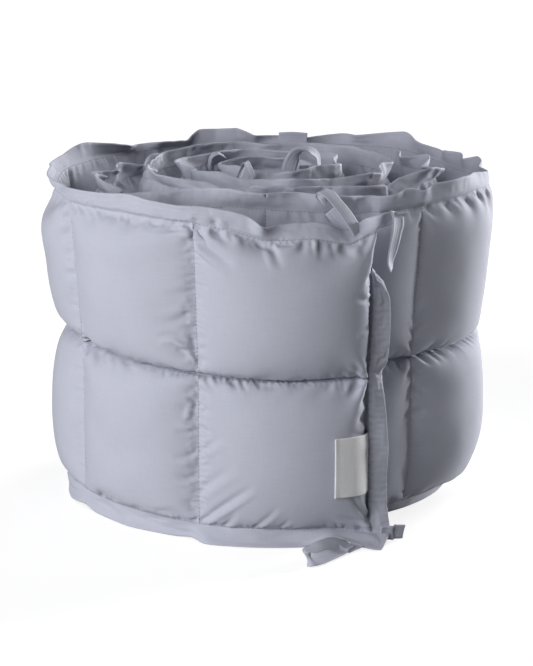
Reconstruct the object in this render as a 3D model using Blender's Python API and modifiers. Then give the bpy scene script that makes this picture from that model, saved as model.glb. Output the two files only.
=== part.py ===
"""Quilted crib bumper, rolled up and standing on its long edge.

One long padded panel with two rows of filled boxes and a flat self-flange all
round is wound as a spiral of nearly five turns.  Narrow cloth
ties are sewn into its corners and its top edge, and a small bare woven label
into its loose end.

Units are metres, +Z is up, the floor is z = 0.  Plan positions are given as an
angle clockwise from the front (-Y) and a radius about the axis of the roll.
"""
import math

import bmesh
import bpy
import numpy as np
from mathutils import Vector

# ---------------------------------------------------------------- dimensions
FLANGE = 0.0155          # flat self-flange outside the filled boxes
STANDING = 0.2880        # height of the rolled pad, edge to edge
MID_SEAM = 0.1420        # height of the lengthwise seam
SHEET = 0.0020           # two layers of cotton, sewn together
PAD_THICK = 0.0325       # fully filled box
BOXES = 25               # boxes along the pad, in each of the two rows
SEAM_PHI = (19.1, 61.4, 103.7, 146.0, 188.3, 230.6, 272.9, 315.2)   # seams of the outer turn
BOX = 0.1312             # wound width of every box further in

PHI_START = -28.6        # plan angle of the loose end, outer edge of its flange
R_START = 0.1940         # radius of the pad's middle surface at the loose end
PITCH = 0.0356           # how much the radius shrinks in each turn
TOP_FLARE = 0.0100       # the top edge leans out by this much
SIDE_BULGE = 0.0145      # the outer turn stands away on the right-hand side
SIDE_PHI = 275.0
SIDE_SPREAD = 38.0
TUCK = 0.0120            # the lower right edge is drawn in under the roll
TUCK_HEIGHT = 0.0480
TUCK_PHI = 285.0
TUCK_SPREAD = 40.0

TIE_WIDTH = 0.0130
TIE_THICK = 0.0012
BOX_STATIONS = (0.0, 0.10, 0.36, 0.64, 0.90)   # across a box of the outer turn, from its seam
INNER_STATIONS = (0.0, 0.50)                   # and across one further in
BOX_ROWS = (0.10, 0.36, 0.64, 0.90)             # up a box, seam to seam

# Heights of the lower stitch line, the middle seam and the upper stitch line,
# and the height of the upper edge, where the outer turns leave the level.
LEVELS = (
    # phi,     lower,  middle,  upper,   edge
    (-28.6,   0.0080,  0.1400,  0.2640,  0.2850),
    (-24.0,   0.0085,  0.1400,  0.2640,  0.2800),
    (-18.0,   0.0120,  0.1405,  0.2550,  0.2660),
    (-13.5,   0.0140,  0.1405,  0.2580,  0.2700),
    (-10.0,   0.0140,  0.1405,  0.2610,  0.2730),
    (2.0,     0.0140,  0.1405,  0.2600,  0.2730),
    (9.0,     0.0145,  0.1415,  0.2670,  0.2820),
    (19.0,    0.0150,  0.1435,  0.2725,  0.2860),
    (40.0,    0.0170,  0.1475,  0.2745,  0.2880),
    (62.0,    0.0175,  0.1505,  0.2740,  0.2890),
    (104.0,   0.0160,  0.1480,  0.2760,  0.2910),
    (165.0,   0.0155,  0.1440,  0.2750,  0.2910),
    (221.0,   0.0155,  0.1430,  0.2770,  0.2930),
    (270.0,   0.0155,  0.1440,  0.2730,  0.2880),
    (315.0,   0.0140,  0.1420,  0.2640,  0.2800),
    (350.0,   0.0150,  0.1420,  0.2750,  0.2920),
    (380.0,   0.0155,  0.1430,  0.2770,  0.2940),
    (440.0,   0.0155,  0.1430,  0.2740,  0.2890),
    (1800.0,  0.0155,  0.1430,  0.2750,  0.2900),
)

# Cloth ties: the tape's middle line, and the direction of its width (its turn
# in plan from +X, and its tilt out of level).
TIES = {
    # x,       y,       z,      turn,  tilt
    "tie_top_corner_inside": (
        (0.0680, -0.1850, 0.2640, 20.0, 35.0),
        (0.0610, -0.1840, 0.2740, 20.0, 38.0),
        (0.0540, -0.1825, 0.2830, 18.0, 38.0),
        (0.0470, -0.1790, 0.2915, 15.0, 30.0),
        (0.0405, -0.1745, 0.2955, 8.0, 12.0),
        (0.0385, -0.1700, 0.2930, 5.0, 25.0),
        (0.0420, -0.1680, 0.2870, 10.0, 40.0),
    ),
    "tie_top_corner_end": (
        (0.0570, -0.1790, 0.2690, 5.0, 40.0),
        (0.0520, -0.1790, 0.2750, 5.0, 40.0),
        (0.0470, -0.1790, 0.2810, 5.0, 40.0),
    ),
    "tie_top_corner_outside": (
        (0.0880, -0.1930, 0.2790, 60.0, 50.0),
        (0.0945, -0.1945, 0.2770, 50.0, 20.0),
        (0.0985, -0.1940, 0.2690, 20.0, 0.0),
        (0.0970, -0.1925, 0.2590, -20.0, 0.0),
        (0.0950, -0.1920, 0.2490, -50.0, 5.0),
        (0.0955, -0.1920, 0.2410, -72.0, 5.0),
        (0.0965, -0.1920, 0.2330, -84.0, 5.0),
    ),
    "tie_floor_loop": (
        (0.0600, -0.2010, 0.0135, 85.0, 55.0),
        (0.0490, -0.2050, 0.0110, 75.0, 62.0),
        (0.0390, -0.2150, 0.0082, 60.0, 68.0),
        (0.0300, -0.2270, 0.0072, 60.0, 70.0),
        (0.0255, -0.2345, 0.0072, 20.0, 72.0),
        (0.0300, -0.2400, 0.0072, -60.0, 70.0),
        (0.0400, -0.2390, 0.0072, -80.0, 68.0),
        (0.0500, -0.2290, 0.0072, -60.0, 66.0),
        (0.0580, -0.2170, 0.0072, -70.0, 66.0),
        (0.0690, -0.2080, 0.0072, -85.0, 68.0),
        (0.0800, -0.2010, 0.0072, -90.0, 70.0),
    ),
    "tie_floor_end": (
        (0.0900, -0.1790, 0.0074, 80.0, 70.0),
        (0.0960, -0.1765, 0.0074, 80.0, 66.0),
        (0.1020, -0.1750, 0.0078, 85.0, 72.0),
        (0.1080, -0.1745, 0.0074, 88.0, 66.0),
    ),
    "tie_centre_arch": (
        (0.0130, -0.0370, 0.2790, 10.0, 0.0),
        (0.0140, -0.0370, 0.2910, 10.0, 0.0),
        (0.0190, -0.0355, 0.3010, 30.0, 0.0),
        (0.0280, -0.0300, 0.3040, 60.0, 0.0),
        (0.0370, -0.0240, 0.2990, 70.0, 0.0),
        (0.0400, -0.0210, 0.2890, 75.0, 0.0),
        (0.0400, -0.0200, 0.2800, 75.0, 0.0),
    ),
    "tie_centre_point": (
        (-0.0300, -0.0590, 0.2830, 70.0, 0.0),
        (-0.0275, -0.0600, 0.2930, 70.0, 0.0),
        (-0.0240, -0.0605, 0.3000, 70.0, 0.0),
        (-0.0205, -0.0620, 0.2930, 70.0, 0.0),
        (-0.0180, -0.0625, 0.2840, 70.0, 0.0),
    ),
    "tie_back_curl": (
        (-0.0580, 0.0240, 0.2800, 100.0, 0.0),
        (-0.0550, 0.0230, 0.2890, 100.0, 0.0),
        (-0.0490, 0.0220, 0.2930, 100.0, 0.0),
        (-0.0430, 0.0230, 0.2900, 100.0, 0.0),
    ),
    "tie_back_end": (
        (0.0060, 0.1580, 0.2830, 20.0, 80.0),
        (0.0190, 0.1570, 0.2840, 20.0, 80.0),
        (0.0320, 0.1560, 0.2830, 20.0, 80.0),
    ),
}

# The label hangs from the end seam on the face of the lower end box.
LABEL = (
    # phi,    r,      z_low,  z_high
    (-23.4, 0.2050, 0.0440, 0.0935),
    (-19.5, 0.2110, 0.0440, 0.0945),
    (-13.9, 0.2128, 0.0450, 0.0955),
)
LABEL_THICK = 0.0010


# ------------------------------------------------------------------ the plan
def ramp(x):
    x = min(max(x, 0.0), 1.0)
    return x * x * (3.0 - 2.0 * x)


def levels(phi):
    cols = list(zip(*LEVELS))
    return [float(np.interp(phi, cols[0], c)) for c in cols[1:]]


def radius(phi, z):
    """Radius of the pad's middle surface at a plan angle and a height."""
    r = R_START - PITCH * (phi - PHI_START) / 360.0
    for lap, share in ((0, 1.0), (1, 0.45), (2, 0.2)):
        d = (phi - SIDE_PHI - 360.0 * lap) / SIDE_SPREAD
        r += SIDE_BULGE * share * math.exp(-d * d)
    upper = min(max((z - MID_SEAM) / (STANDING - FLANGE - MID_SEAM), 0.0), 1.0)
    r += TOP_FLARE * upper * (1.0 if phi < 330 else 0.6 if phi < 700 else 0.3)
    low = 1.0 - ramp((z - 0.010) / TUCK_HEIGHT)
    d = (phi - TUCK_PHI) / TUCK_SPREAD
    r -= TUCK * low * math.exp(-d * d)
    return r


def plan(phi, r, z):
    a = math.radians(phi)
    return Vector((-r * math.sin(a), -r * math.cos(a), z))


def winding():
    """Path length along the pad against plan angle, from the loose end."""
    phis, arcs = [PHI_START], [0.0]
    step = 1.0
    while phis[-1] < PHI_START + 1850.0:
        p = phis[-1]
        a, b = plan(p, radius(p, MID_SEAM), 0), plan(p + step, radius(p + step, MID_SEAM), 0)
        arcs.append(arcs[-1] + (b - a).length)
        phis.append(p + step)
    return np.array(arcs), np.array(phis)


def seam_places(arcs, phis):
    """Path length of the loose edge, of each upright seam and of the inner edge."""
    places = [0.0, FLANGE] + [float(np.interp(p, phis, arcs)) for p in SEAM_PHI]
    while len(places) < BOXES + 2:
        places.append(places[-1] + BOX)
    places.append(places[-1] + FLANGE)
    return places


# ------------------------------------------------------------ making objects
def fresh_collection(name):
    col = bpy.data.collections.new(name)
    bpy.context.scene.collection.children.link(col)
    return col


def cloth_material(name, colour, roughness):
    mat = bpy.data.materials.new(name)
    mat.use_nodes = True
    bsdf = mat.node_tree.nodes["Principled BSDF"]
    bsdf.inputs["Base Color"].default_value = (*colour, 1.0)
    bsdf.inputs["Roughness"].default_value = roughness
    bsdf.inputs["Metallic"].default_value = 0.0
    return mat


def sheet_object(name, col, mat, columns, rows, place, thick, loft=None):
    """A grid of columns x rows points laid out by place(i, j), made solid."""
    bm = bmesh.new()
    bmesh.ops.create_grid(bm, x_segments=columns - 1, y_segments=rows - 1, size=0.5)
    weights = {}
    for v in bm.verts:
        i = round((v.co.x + 0.5) * (columns - 1))
        j = round((v.co.y + 0.5) * (rows - 1))
        weights[v.index] = 1.0 if loft is None else loft(i, j)
        v.co = place(i, j)
    bm.verts.index_update()
    mesh = bpy.data.meshes.new(name)
    bm.to_mesh(mesh)
    bm.free()
    obj = bpy.data.objects.new(name, mesh)
    col.objects.link(obj)
    mesh.materials.append(mat)
    solid = obj.modifiers.new("cloth", "SOLIDIFY")
    solid.thickness = thick
    solid.offset = 0.0
    solid.use_rim = True
    if loft is not None:
        group = obj.vertex_groups.new(name="loft")
        for index, w in weights.items():
            group.add([index], w, "REPLACE")
        solid.vertex_group = "loft"
        solid.thickness_vertex_group = 0.0
    mesh.shade_smooth()
    return obj


def pad(col, mat):
    arcs, phis = winding()
    places = seam_places(arcs, phis)
    stations, fill_u = [places[0]], [0.0]
    for k, (a, b) in enumerate(zip(places[1:-2], places[2:-1])):
        for t in BOX_STATIONS if k <= len(SEAM_PHI) else INNER_STATIONS:
            stations.append(a + (b - a) * t)
            fill_u.append(t)
    stations += [places[-2], places[-1]]
    fill_u += [0.0, 0.0]

    # rows: edge, stitch line, box, middle seam, box, stitch line, edge
    rows = [(0, 0.0), (1, 0.0)]
    rows += [(1, t) for t in BOX_ROWS]
    rows += [(2, 0.0)]
    rows += [(2, t) for t in BOX_ROWS]
    rows += [(3, 0.0), (4, 0.0)]

    def place(i, j):
        phi = float(np.interp(stations[i], arcs, phis))
        lower, middle, upper, edge = levels(phi)
        marks = (0.0, lower, middle, upper, edge)
        part, t = rows[j]
        z = marks[part] if part in (0, 4) else marks[part] + (marks[part + 1] - marks[part]) * t
        z_for_r = min(max(z, lower), upper)
        return plan(phi, radius(phi, z_for_r), z)

    def loft(i, j):
        part, t = rows[j]
        u = fill_u[i]
        crown = (max(math.sin(math.pi * u), 0.0) * max(math.sin(math.pi * t), 0.0)) ** 0.60
        thin = SHEET / PAD_THICK
        return thin + (1.0 - thin) * crown

    return sheet_object("quilted_pad", col, mat, len(stations), len(rows), place, PAD_THICK, loft)


def smooth_rows(table, count):
    """Rows read from a smooth curve through a table's rows."""
    keys = np.array(table, float)
    out = []
    n = len(keys)
    for k in range(count):
        s = k * (n - 1) / (count - 1)
        i = min(int(s), n - 2)
        f = s - i
        p0, p1 = keys[max(i - 1, 0)], keys[i]
        p2, p3 = keys[i + 1], keys[min(i + 2, n - 1)]
        out.append(0.5 * (2 * p1 + (p2 - p0) * f + (2 * p0 - 5 * p1 + 4 * p2 - p3) * f ** 2
                          + (3 * p1 - p0 - 3 * p2 + p3) * f ** 3))
    return out


def tie(name, col, mat, table):
    count = 4 * len(table)
    keys = smooth_rows(table, count)

    def place(i, j):
        x, y, z, turn, tilt = keys[i]
        a, b = math.radians(turn), math.radians(tilt)
        across = Vector((math.cos(a) * math.cos(b), math.sin(a) * math.cos(b), math.sin(b)))
        return Vector((x, y, z)) + across * TIE_WIDTH * (j / 2.0 - 0.5)

    return sheet_object(name, col, mat, count, 3, place, TIE_THICK)


def label(col, mat):
    phis = [row[0] for row in LABEL]

    def place(i, j):
        phi = phis[0] + (phis[-1] - phis[0]) * i / 4.0
        r, low, high = [float(np.interp(phi, phis, [row[c] for row in LABEL])) for c in (1, 2, 3)]
        t = j / 6.0
        return plan(phi, r - 0.0030 * (2 * t - 1) ** 2, low + (high - low) * t)

    return sheet_object("label", col, mat, 5, 7, place, LABEL_THICK)


def centre_on_axis(objects):
    """Put the middle of the whole object's footprint on the Z axis."""
    deps = bpy.context.evaluated_depsgraph_get()
    low, high = [1e9, 1e9], [-1e9, -1e9]
    for obj in objects:
        mesh = obj.evaluated_get(deps).to_mesh()
        for v in mesh.vertices:
            for k in (0, 1):
                low[k] = min(low[k], v.co[k])
                high[k] = max(high[k], v.co[k])
    for obj in objects:
        obj.location = (-(low[0] + high[0]) / 2, -(low[1] + high[1]) / 2, 0.0)


def main():
    for obj in list(bpy.data.objects):
        bpy.data.objects.remove(obj, do_unlink=True)
    col = fresh_collection("crib_bumper")
    cotton = cloth_material("quilted_cotton", (0.46, 0.48, 0.57), 0.85)
    tape = cloth_material("tie_cotton", (0.44, 0.46, 0.55), 0.88)
    woven = cloth_material("label_cloth", (0.82, 0.81, 0.79), 0.80)
    objects = [pad(col, cotton)]
    objects += [tie(name, col, tape, table) for name, table in TIES.items()]
    objects.append(label(col, woven))
    bpy.context.view_layer.update()
    centre_on_axis(objects)
    bpy.context.view_layer.update()


main()
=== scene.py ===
"""Looks of the rolled quilted crib bumper: cloth, seams, ties, label, light and camera."""
import math
import time

import bpy
import numpy as np
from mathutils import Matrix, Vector


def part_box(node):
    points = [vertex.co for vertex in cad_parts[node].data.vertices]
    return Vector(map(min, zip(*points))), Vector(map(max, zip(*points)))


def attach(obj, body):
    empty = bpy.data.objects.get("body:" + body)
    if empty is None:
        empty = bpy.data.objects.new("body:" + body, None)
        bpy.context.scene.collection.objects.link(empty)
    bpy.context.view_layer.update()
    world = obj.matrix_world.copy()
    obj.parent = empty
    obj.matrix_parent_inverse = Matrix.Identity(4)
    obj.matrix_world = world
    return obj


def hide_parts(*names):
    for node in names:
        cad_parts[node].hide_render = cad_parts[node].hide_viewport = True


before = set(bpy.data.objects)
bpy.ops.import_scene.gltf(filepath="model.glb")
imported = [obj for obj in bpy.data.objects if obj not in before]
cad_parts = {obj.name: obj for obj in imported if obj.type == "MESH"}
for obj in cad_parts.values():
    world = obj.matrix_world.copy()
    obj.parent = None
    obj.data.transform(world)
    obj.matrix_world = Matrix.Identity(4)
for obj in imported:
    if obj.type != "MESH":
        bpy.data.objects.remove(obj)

T0 = time.time()
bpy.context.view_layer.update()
F32 = np.float32

# ------------------------------------------------------------ sizes (metres, degrees)
FLANGE = 0.0155
STANDING = 0.2880
MID_SEAM = 0.1420
BOXES = 25
BOX = 0.1312             # along the roll, past the outer turn
SEAM_PHI = (19.1, 61.4, 103.7, 146.0, 188.3, 230.6, 272.9, 315.2)   # outer turn's seams
FLAT_BOX = 0.1475        # pitch of the boxes before filling, for the weave
FLAT_ROW = 0.1420        # height of each row of boxes before filling
PHI_START = -28.6
R_START = 0.1940
PITCH = 0.0356
TOP_FLARE = 0.0100
SIDE_BULGE = 0.0145
SIDE_PHI = 275.0
SIDE_SPREAD = 38.0
TUCK = 0.0120
TUCK_HEIGHT = 0.0480
TUCK_PHI = 285.0
TUCK_SPREAD = 40.0
CORNER_OUT = 0.0070      # the foot of the loose end stands further out
CORNER_PHI = -26.0
CORNER_SPREAD = 6.5
CORNER_TURN = 5.2        # and its free corner is drawn round to the front, degrees
TOP_CORNER_TURN = 2.8    # while the upper corner sticks out to the right
BULGE_OUT = 0.0165       # how far the outer turn's boxes swell outward
MID_DEPTH = 0.0050       # the middle seam is drawn in this much deeper
RIM_DEPTH = 0.0020       # and the seams along the flanges
END_DEPTH = 0.0060       # and the seam beside the loose end's flange
FULL = np.array([        # how square the boxes' shoulders are: by the flanges, by the
    # middle seam, and how far the upper and the lower row swell
    # phi,   rim,  middle, upper, lower
    (-28.6,  0.64,  0.36,  1.00,  1.00),
    (25.0,   0.64,  0.36,  1.00,  1.00),
    (42.0,   0.58,  0.62,  1.00,  1.02),
    (60.0,   0.50,  0.95,  1.03,  1.08),
    (90.0,   0.48,  0.95,  1.05,  1.10),
    (130.0,  0.50,  0.95,  1.02,  1.06),
    (190.0,  0.58,  0.60,  1.00,  1.00),
    (250.0,  0.54,  0.52,  0.90,  1.05),
    (285.0,  0.50,  0.50,  0.80,  1.15),
    (310.0,  0.58,  0.50,  0.92,  1.08),
    (345.0,  0.64,  0.80,  1.00,  1.00),
])
OVERHANG = 0.0075        # the first box swells out over the seam beside the end flange
BULGE_IN = 0.0135        # and every other face
PAD_LOW = (-0.20354, -0.21067)   # the pad's lower corner about the roll's own axis

low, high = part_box("quilted_pad")
OFF = np.array([low[0] - PAD_LOW[0], low[1] - PAD_LOW[1], 0.0])

LEVELS = np.array([
    # phi,     lower,  middle,  upper seam
    (-28.6,   0.0080,  0.1400,  0.2640),
    (-24.0,   0.0085,  0.1400,  0.2640),
    (-18.0,   0.0120,  0.1405,  0.2550),
    (-13.5,   0.0140,  0.1405,  0.2580),
    (-10.0,   0.0140,  0.1405,  0.2610),
    (2.0,     0.0140,  0.1405,  0.2600),
    (9.0,     0.0145,  0.1415,  0.2670),
    (19.0,    0.0150,  0.1435,  0.2725),
    (40.0,    0.0170,  0.1475,  0.2745),
    (62.0,    0.0175,  0.1505,  0.2720),
    (104.0,   0.0160,  0.1480,  0.2760),
    (165.0,   0.0155,  0.1440,  0.2740),
    (221.0,   0.0155,  0.1430,  0.2780),
    (245.0,   0.0155,  0.1430,  0.2690),
    (270.0,   0.0155,  0.1440,  0.2710),
    (290.0,   0.0150,  0.1430,  0.2770),
    (315.0,   0.0140,  0.1420,  0.2740),
    (335.0,   0.0150,  0.1420,  0.2730),
    (372.0,   0.0155,  0.1430,  0.2800),
    (412.0,   0.0155,  0.1430,  0.2680),
    (434.0,   0.0155,  0.1430,  0.2730),
    (470.0,   0.0155,  0.1430,  0.2620),
    (500.0,   0.0155,  0.1430,  0.2640),
    (590.0,   0.0155,  0.1430,  0.2710),
    (652.0,   0.0155,  0.1430,  0.2810),
    (672.0,   0.0155,  0.1430,  0.2700),
    (720.0,   0.0155,  0.1430,  0.2770),
    (781.0,   0.0155,  0.1430,  0.2840),
    (820.0,   0.0155,  0.1430,  0.2740),
    (1030.0,  0.0155,  0.1430,  0.2760),
    (1110.0,  0.0155,  0.1430,  0.2790),
    (1800.0,  0.0155,  0.1430,  0.2770),
])

# Upper flange: height of its edge, and whether it leans outward (+) or inward (-) there.
EDGE = [
    # phi,     edge,   side
    (-28.6,   0.2790,  1),
    (-25.5,   0.2800,  1),
    (-22.0,   0.2740, -1),
    (-19.5,   0.2650, -1),
    (-17.0,   0.2645, -1),
    (-13.5,   0.2705, -1),
    (-10.5,   0.2728, -1),
    (-5.0,    0.2722, -1),
    (-0.9,    0.2712, -1),
    (1.0,     0.2705,  0),
    (2.6,     0.2722,  1),
    (4.3,     0.2765,  1),
    (6.2,     0.2805,  1),
    (8.5,     0.2836,  1),
    (17.3,    0.2865,  1),
    (23.0,    0.2860,  1),
    (30.5,    0.2880,  1),
    (37.0,    0.2905,  1),
    (46.8,    0.2872,  1),
    (58.0,    0.2850,  1),
    (69.4,    0.2805, -1),
    (80.0,    0.2825,  1),
    (94.3,    0.2836,  1),
    (107.0,   0.2852,  1),
    (115.7,   0.2922,  1),
    (126.0,   0.2872, -1),
    (133.3,   0.2826, -1),
    (139.9,   0.2798,  1),
    (144.2,   0.2825, -1),
    (153.2,   0.2815, -1),
    (158.4,   0.2892,  1),
    (163.1,   0.2888,  1),
    (169.5,   0.2900, -1),
    (174.5,   0.2835, -1),
    (182.0,   0.2813,  1),
    (187.1,   0.2805, -1),
    (201.3,   0.2858,  1),
    (206.3,   0.2866, -1),
    (222.2,   0.2935,  1),
    (228.7,   0.2874, -1),
    (237.1,   0.2806,  1),
    (239.9,   0.2838, -1),
    (246.7,   0.2839,  1),
    (248.8,   0.2796, -1),
    (255.9,   0.2863,  1),
    (264.4,   0.2823, -1),
    (273.0,   0.2825,  0),
    (288.0,   0.2895, -1),
    (304.4,   0.2925,  1),
    (310.1,   0.2905, -1),
    (315.3,   0.2862,  1),
    (319.0,   0.2900, -1),
    (325.0,   0.2870,  1),
    (332.5,   0.2850, -1),
    (342.0,   0.2891,  1),
    (353.3,   0.2910, -1),
    (364.0,   0.2926,  1),
    (372.6,   0.2950,  1),
    (384.6,   0.2929, -1),
    (392.0,   0.2876,  1),
    (402.1,   0.2835, -1),
    (412.0,   0.2792,  1),
    (421.0,   0.2765, -1),
    (434.6,   0.2869,  1),
    (441.0,   0.2800, -1),
    (452.0,   0.2790,  1),
    (466.8,   0.2740, -1),
    (475.0,   0.2770,  1),
    (484.2,   0.2720, -1),
    (493.5,   0.2778,  1),
    (512.7,   0.2778, -1),
    (530.0,   0.2800,  1),
    (541.0,   0.2770, -1),
    (560.0,   0.2810,  1),
    (578.0,   0.2791, -1),
    (589.6,   0.2852,  1),
    (600.0,   0.2820, -1),
    (609.8,   0.2869,  1),
    (622.0,   0.2810, -1),
    (640.0,   0.2880,  1),
    (652.8,   0.2940,  1),
    (661.0,   0.2880, -1),
    (671.7,   0.2810, -1),
    (677.9,   0.2880,  1),
    (687.3,   0.2905,  1),
    (697.5,   0.2880, -1),
    (711.0,   0.2900,  1),
    (727.0,   0.2920,  1),
    (730.6,   0.2860, -1),
    (737.0,   0.2870,  1),
    (750.0,   0.2880, -1),
    (772.1,   0.2930,  1),
    (781.5,   0.2970,  1),
    (788.0,   0.2880, -1),
]


def with_inner_edges(rows, seed=11):
    """Further in, the flange leans one way and the other with sudden kinks."""
    rng = np.random.default_rng(seed)
    phi = rows[-1][0]
    rows = list(rows)
    side = 1
    while phi < 1900.0:
        r = max(R_START - PITCH * (phi - PHI_START) / 360.0, 0.02)
        phi += math.degrees(rng.uniform(0.014, 0.042) / r)
        side = -side if rng.uniform() < 0.6 else side
        rows.append((phi, 0.2765 + float(rng.uniform(0.0095, 0.0153)), side * rng.uniform(0.5, 1.0)))
    return np.array(rows, float)


EDGE = with_inner_edges(EDGE)

# How far the lower flange splays outward where it meets the floor.
SPLAY = np.array([
    # phi,    out
    (-28.6,  0.0200),
    (-24.0,  0.0180),
    (-20.0,  0.0135),
    (-17.0,  0.0090),
    (-12.0,  0.0060),
    (-6.0,   0.0078),
    (10.0,   0.0080),
    (17.5,   0.0100),
    (20.5,  -0.0020),
    (40.0,  -0.0005),
    (62.0,  -0.0005),
    (72.0,   0.0030),
    (95.0,  -0.0010),
    (140.0,  0.0040),
    (190.0,  0.0010),
    (235.0,  0.0040),
    (255.0,  0.0000),
    (272.0, -0.0140),
    (335.0, -0.0160),
    (345.0, -0.0080),
])

# Where the lower flange is lifted off the floor.
LIFT = np.array([(-22.0, 0.0), (-16.5, 0.006), (-13.5, 0.0105), (-10.5, 0.005), (-7.5, 0.0),
                 (19.0, 0.0), (21.5, 0.0035), (25.0, 0.0), (56.0, 0.0), (62.0, 0.004), (70.0, 0.0),
                 (318.0, 0.0), (328.0, 0.004), (340.0, 0.004), (350.0, 0.0)])

# How far the end flange stands out (+) or in (-) at its free edge.
END_WAVE = np.array([
    # z,      out
    (0.0000,  0.0020),
    (0.0250,  0.0030),
    (0.0550,  0.0020),
    (0.0790,  0.0045),
    (0.1080,  0.0000),
    (0.1220, -0.0030),
    (0.1340, -0.0070),
    (0.1430, -0.0075),
    (0.1520,  0.0000),
    (0.1700,  0.0020),
    (0.1870,  0.0015),
    (0.2100, -0.0020),
    (0.2270, -0.0115),
    (0.2420, -0.0150),
    (0.2560, -0.0150),
    (0.2680, -0.0040),
    (0.2870,  0.0040),
])

# How much of the end flange's width shows at each height: less than none where it is
# folded back behind the box.
END_FOLD = np.array([
    # z,      width
    (0.0000,  1.00),
    (0.2060,  1.00),
    (0.2200,  0.80),
    (0.2300,  0.30),
    (0.2380, -0.20),
    (0.2580, -0.30),
    (0.2660,  0.30),
    (0.2730,  1.00),
    (0.2900,  1.00),
])

# Where the cloth is gathered more than elsewhere.
GATHERS = np.array([
    # phi,    z,      phi_half, z_half, along, upright
    (-4.0,   0.2490,   6.0,    0.014,   0.035, 0.00),
    (3.0,    0.2560,   3.0,    0.010,   0.06,  0.03),
    (15.0,   0.2540,   4.0,    0.018,   0.06,  0.08),
    (-19.0,  0.2440,   4.0,    0.016,   0.06,  0.05),
    (23.5,   0.1640,   4.0,    0.022,   0.04,  0.07),
    (14.0,   0.1330,   4.0,    0.010,   0.03,  0.01),
    (22.5,   0.1250,   3.5,    0.014,   0.03,  0.05),
    (56.0,   0.1380,   6.0,    0.018,   0.07,  0.07),
    (66.0,   0.2500,   6.0,    0.016,   0.05,  0.03),
    (62.0,   0.2000,   4.0,    0.060,   0.00,  0.04),
    (314.0,  0.1580,   5.0,    0.014,   0.07,  0.10),
    (314.0,  0.1280,   5.0,    0.016,   0.07,  0.10),
    (285.0,  0.2600,  16.0,    0.014,   0.08,  0.00),
    (14.0,   0.0280,   4.0,    0.018,   0.03,  0.04),
    (-8.0,   0.0260,  10.0,    0.012,   0.01,  0.00),
    (60.0,   0.0300,   8.0,    0.012,   0.05,  0.03),
    (-10.0,  0.1405,  12.0,    0.010,  -0.025, 0.00),
    (-23.0,  0.2000,   1.8,    0.050,   0.01,  0.01),
    (-23.0,  0.0750,   1.8,    0.050,   0.01,  0.01),
])

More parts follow.
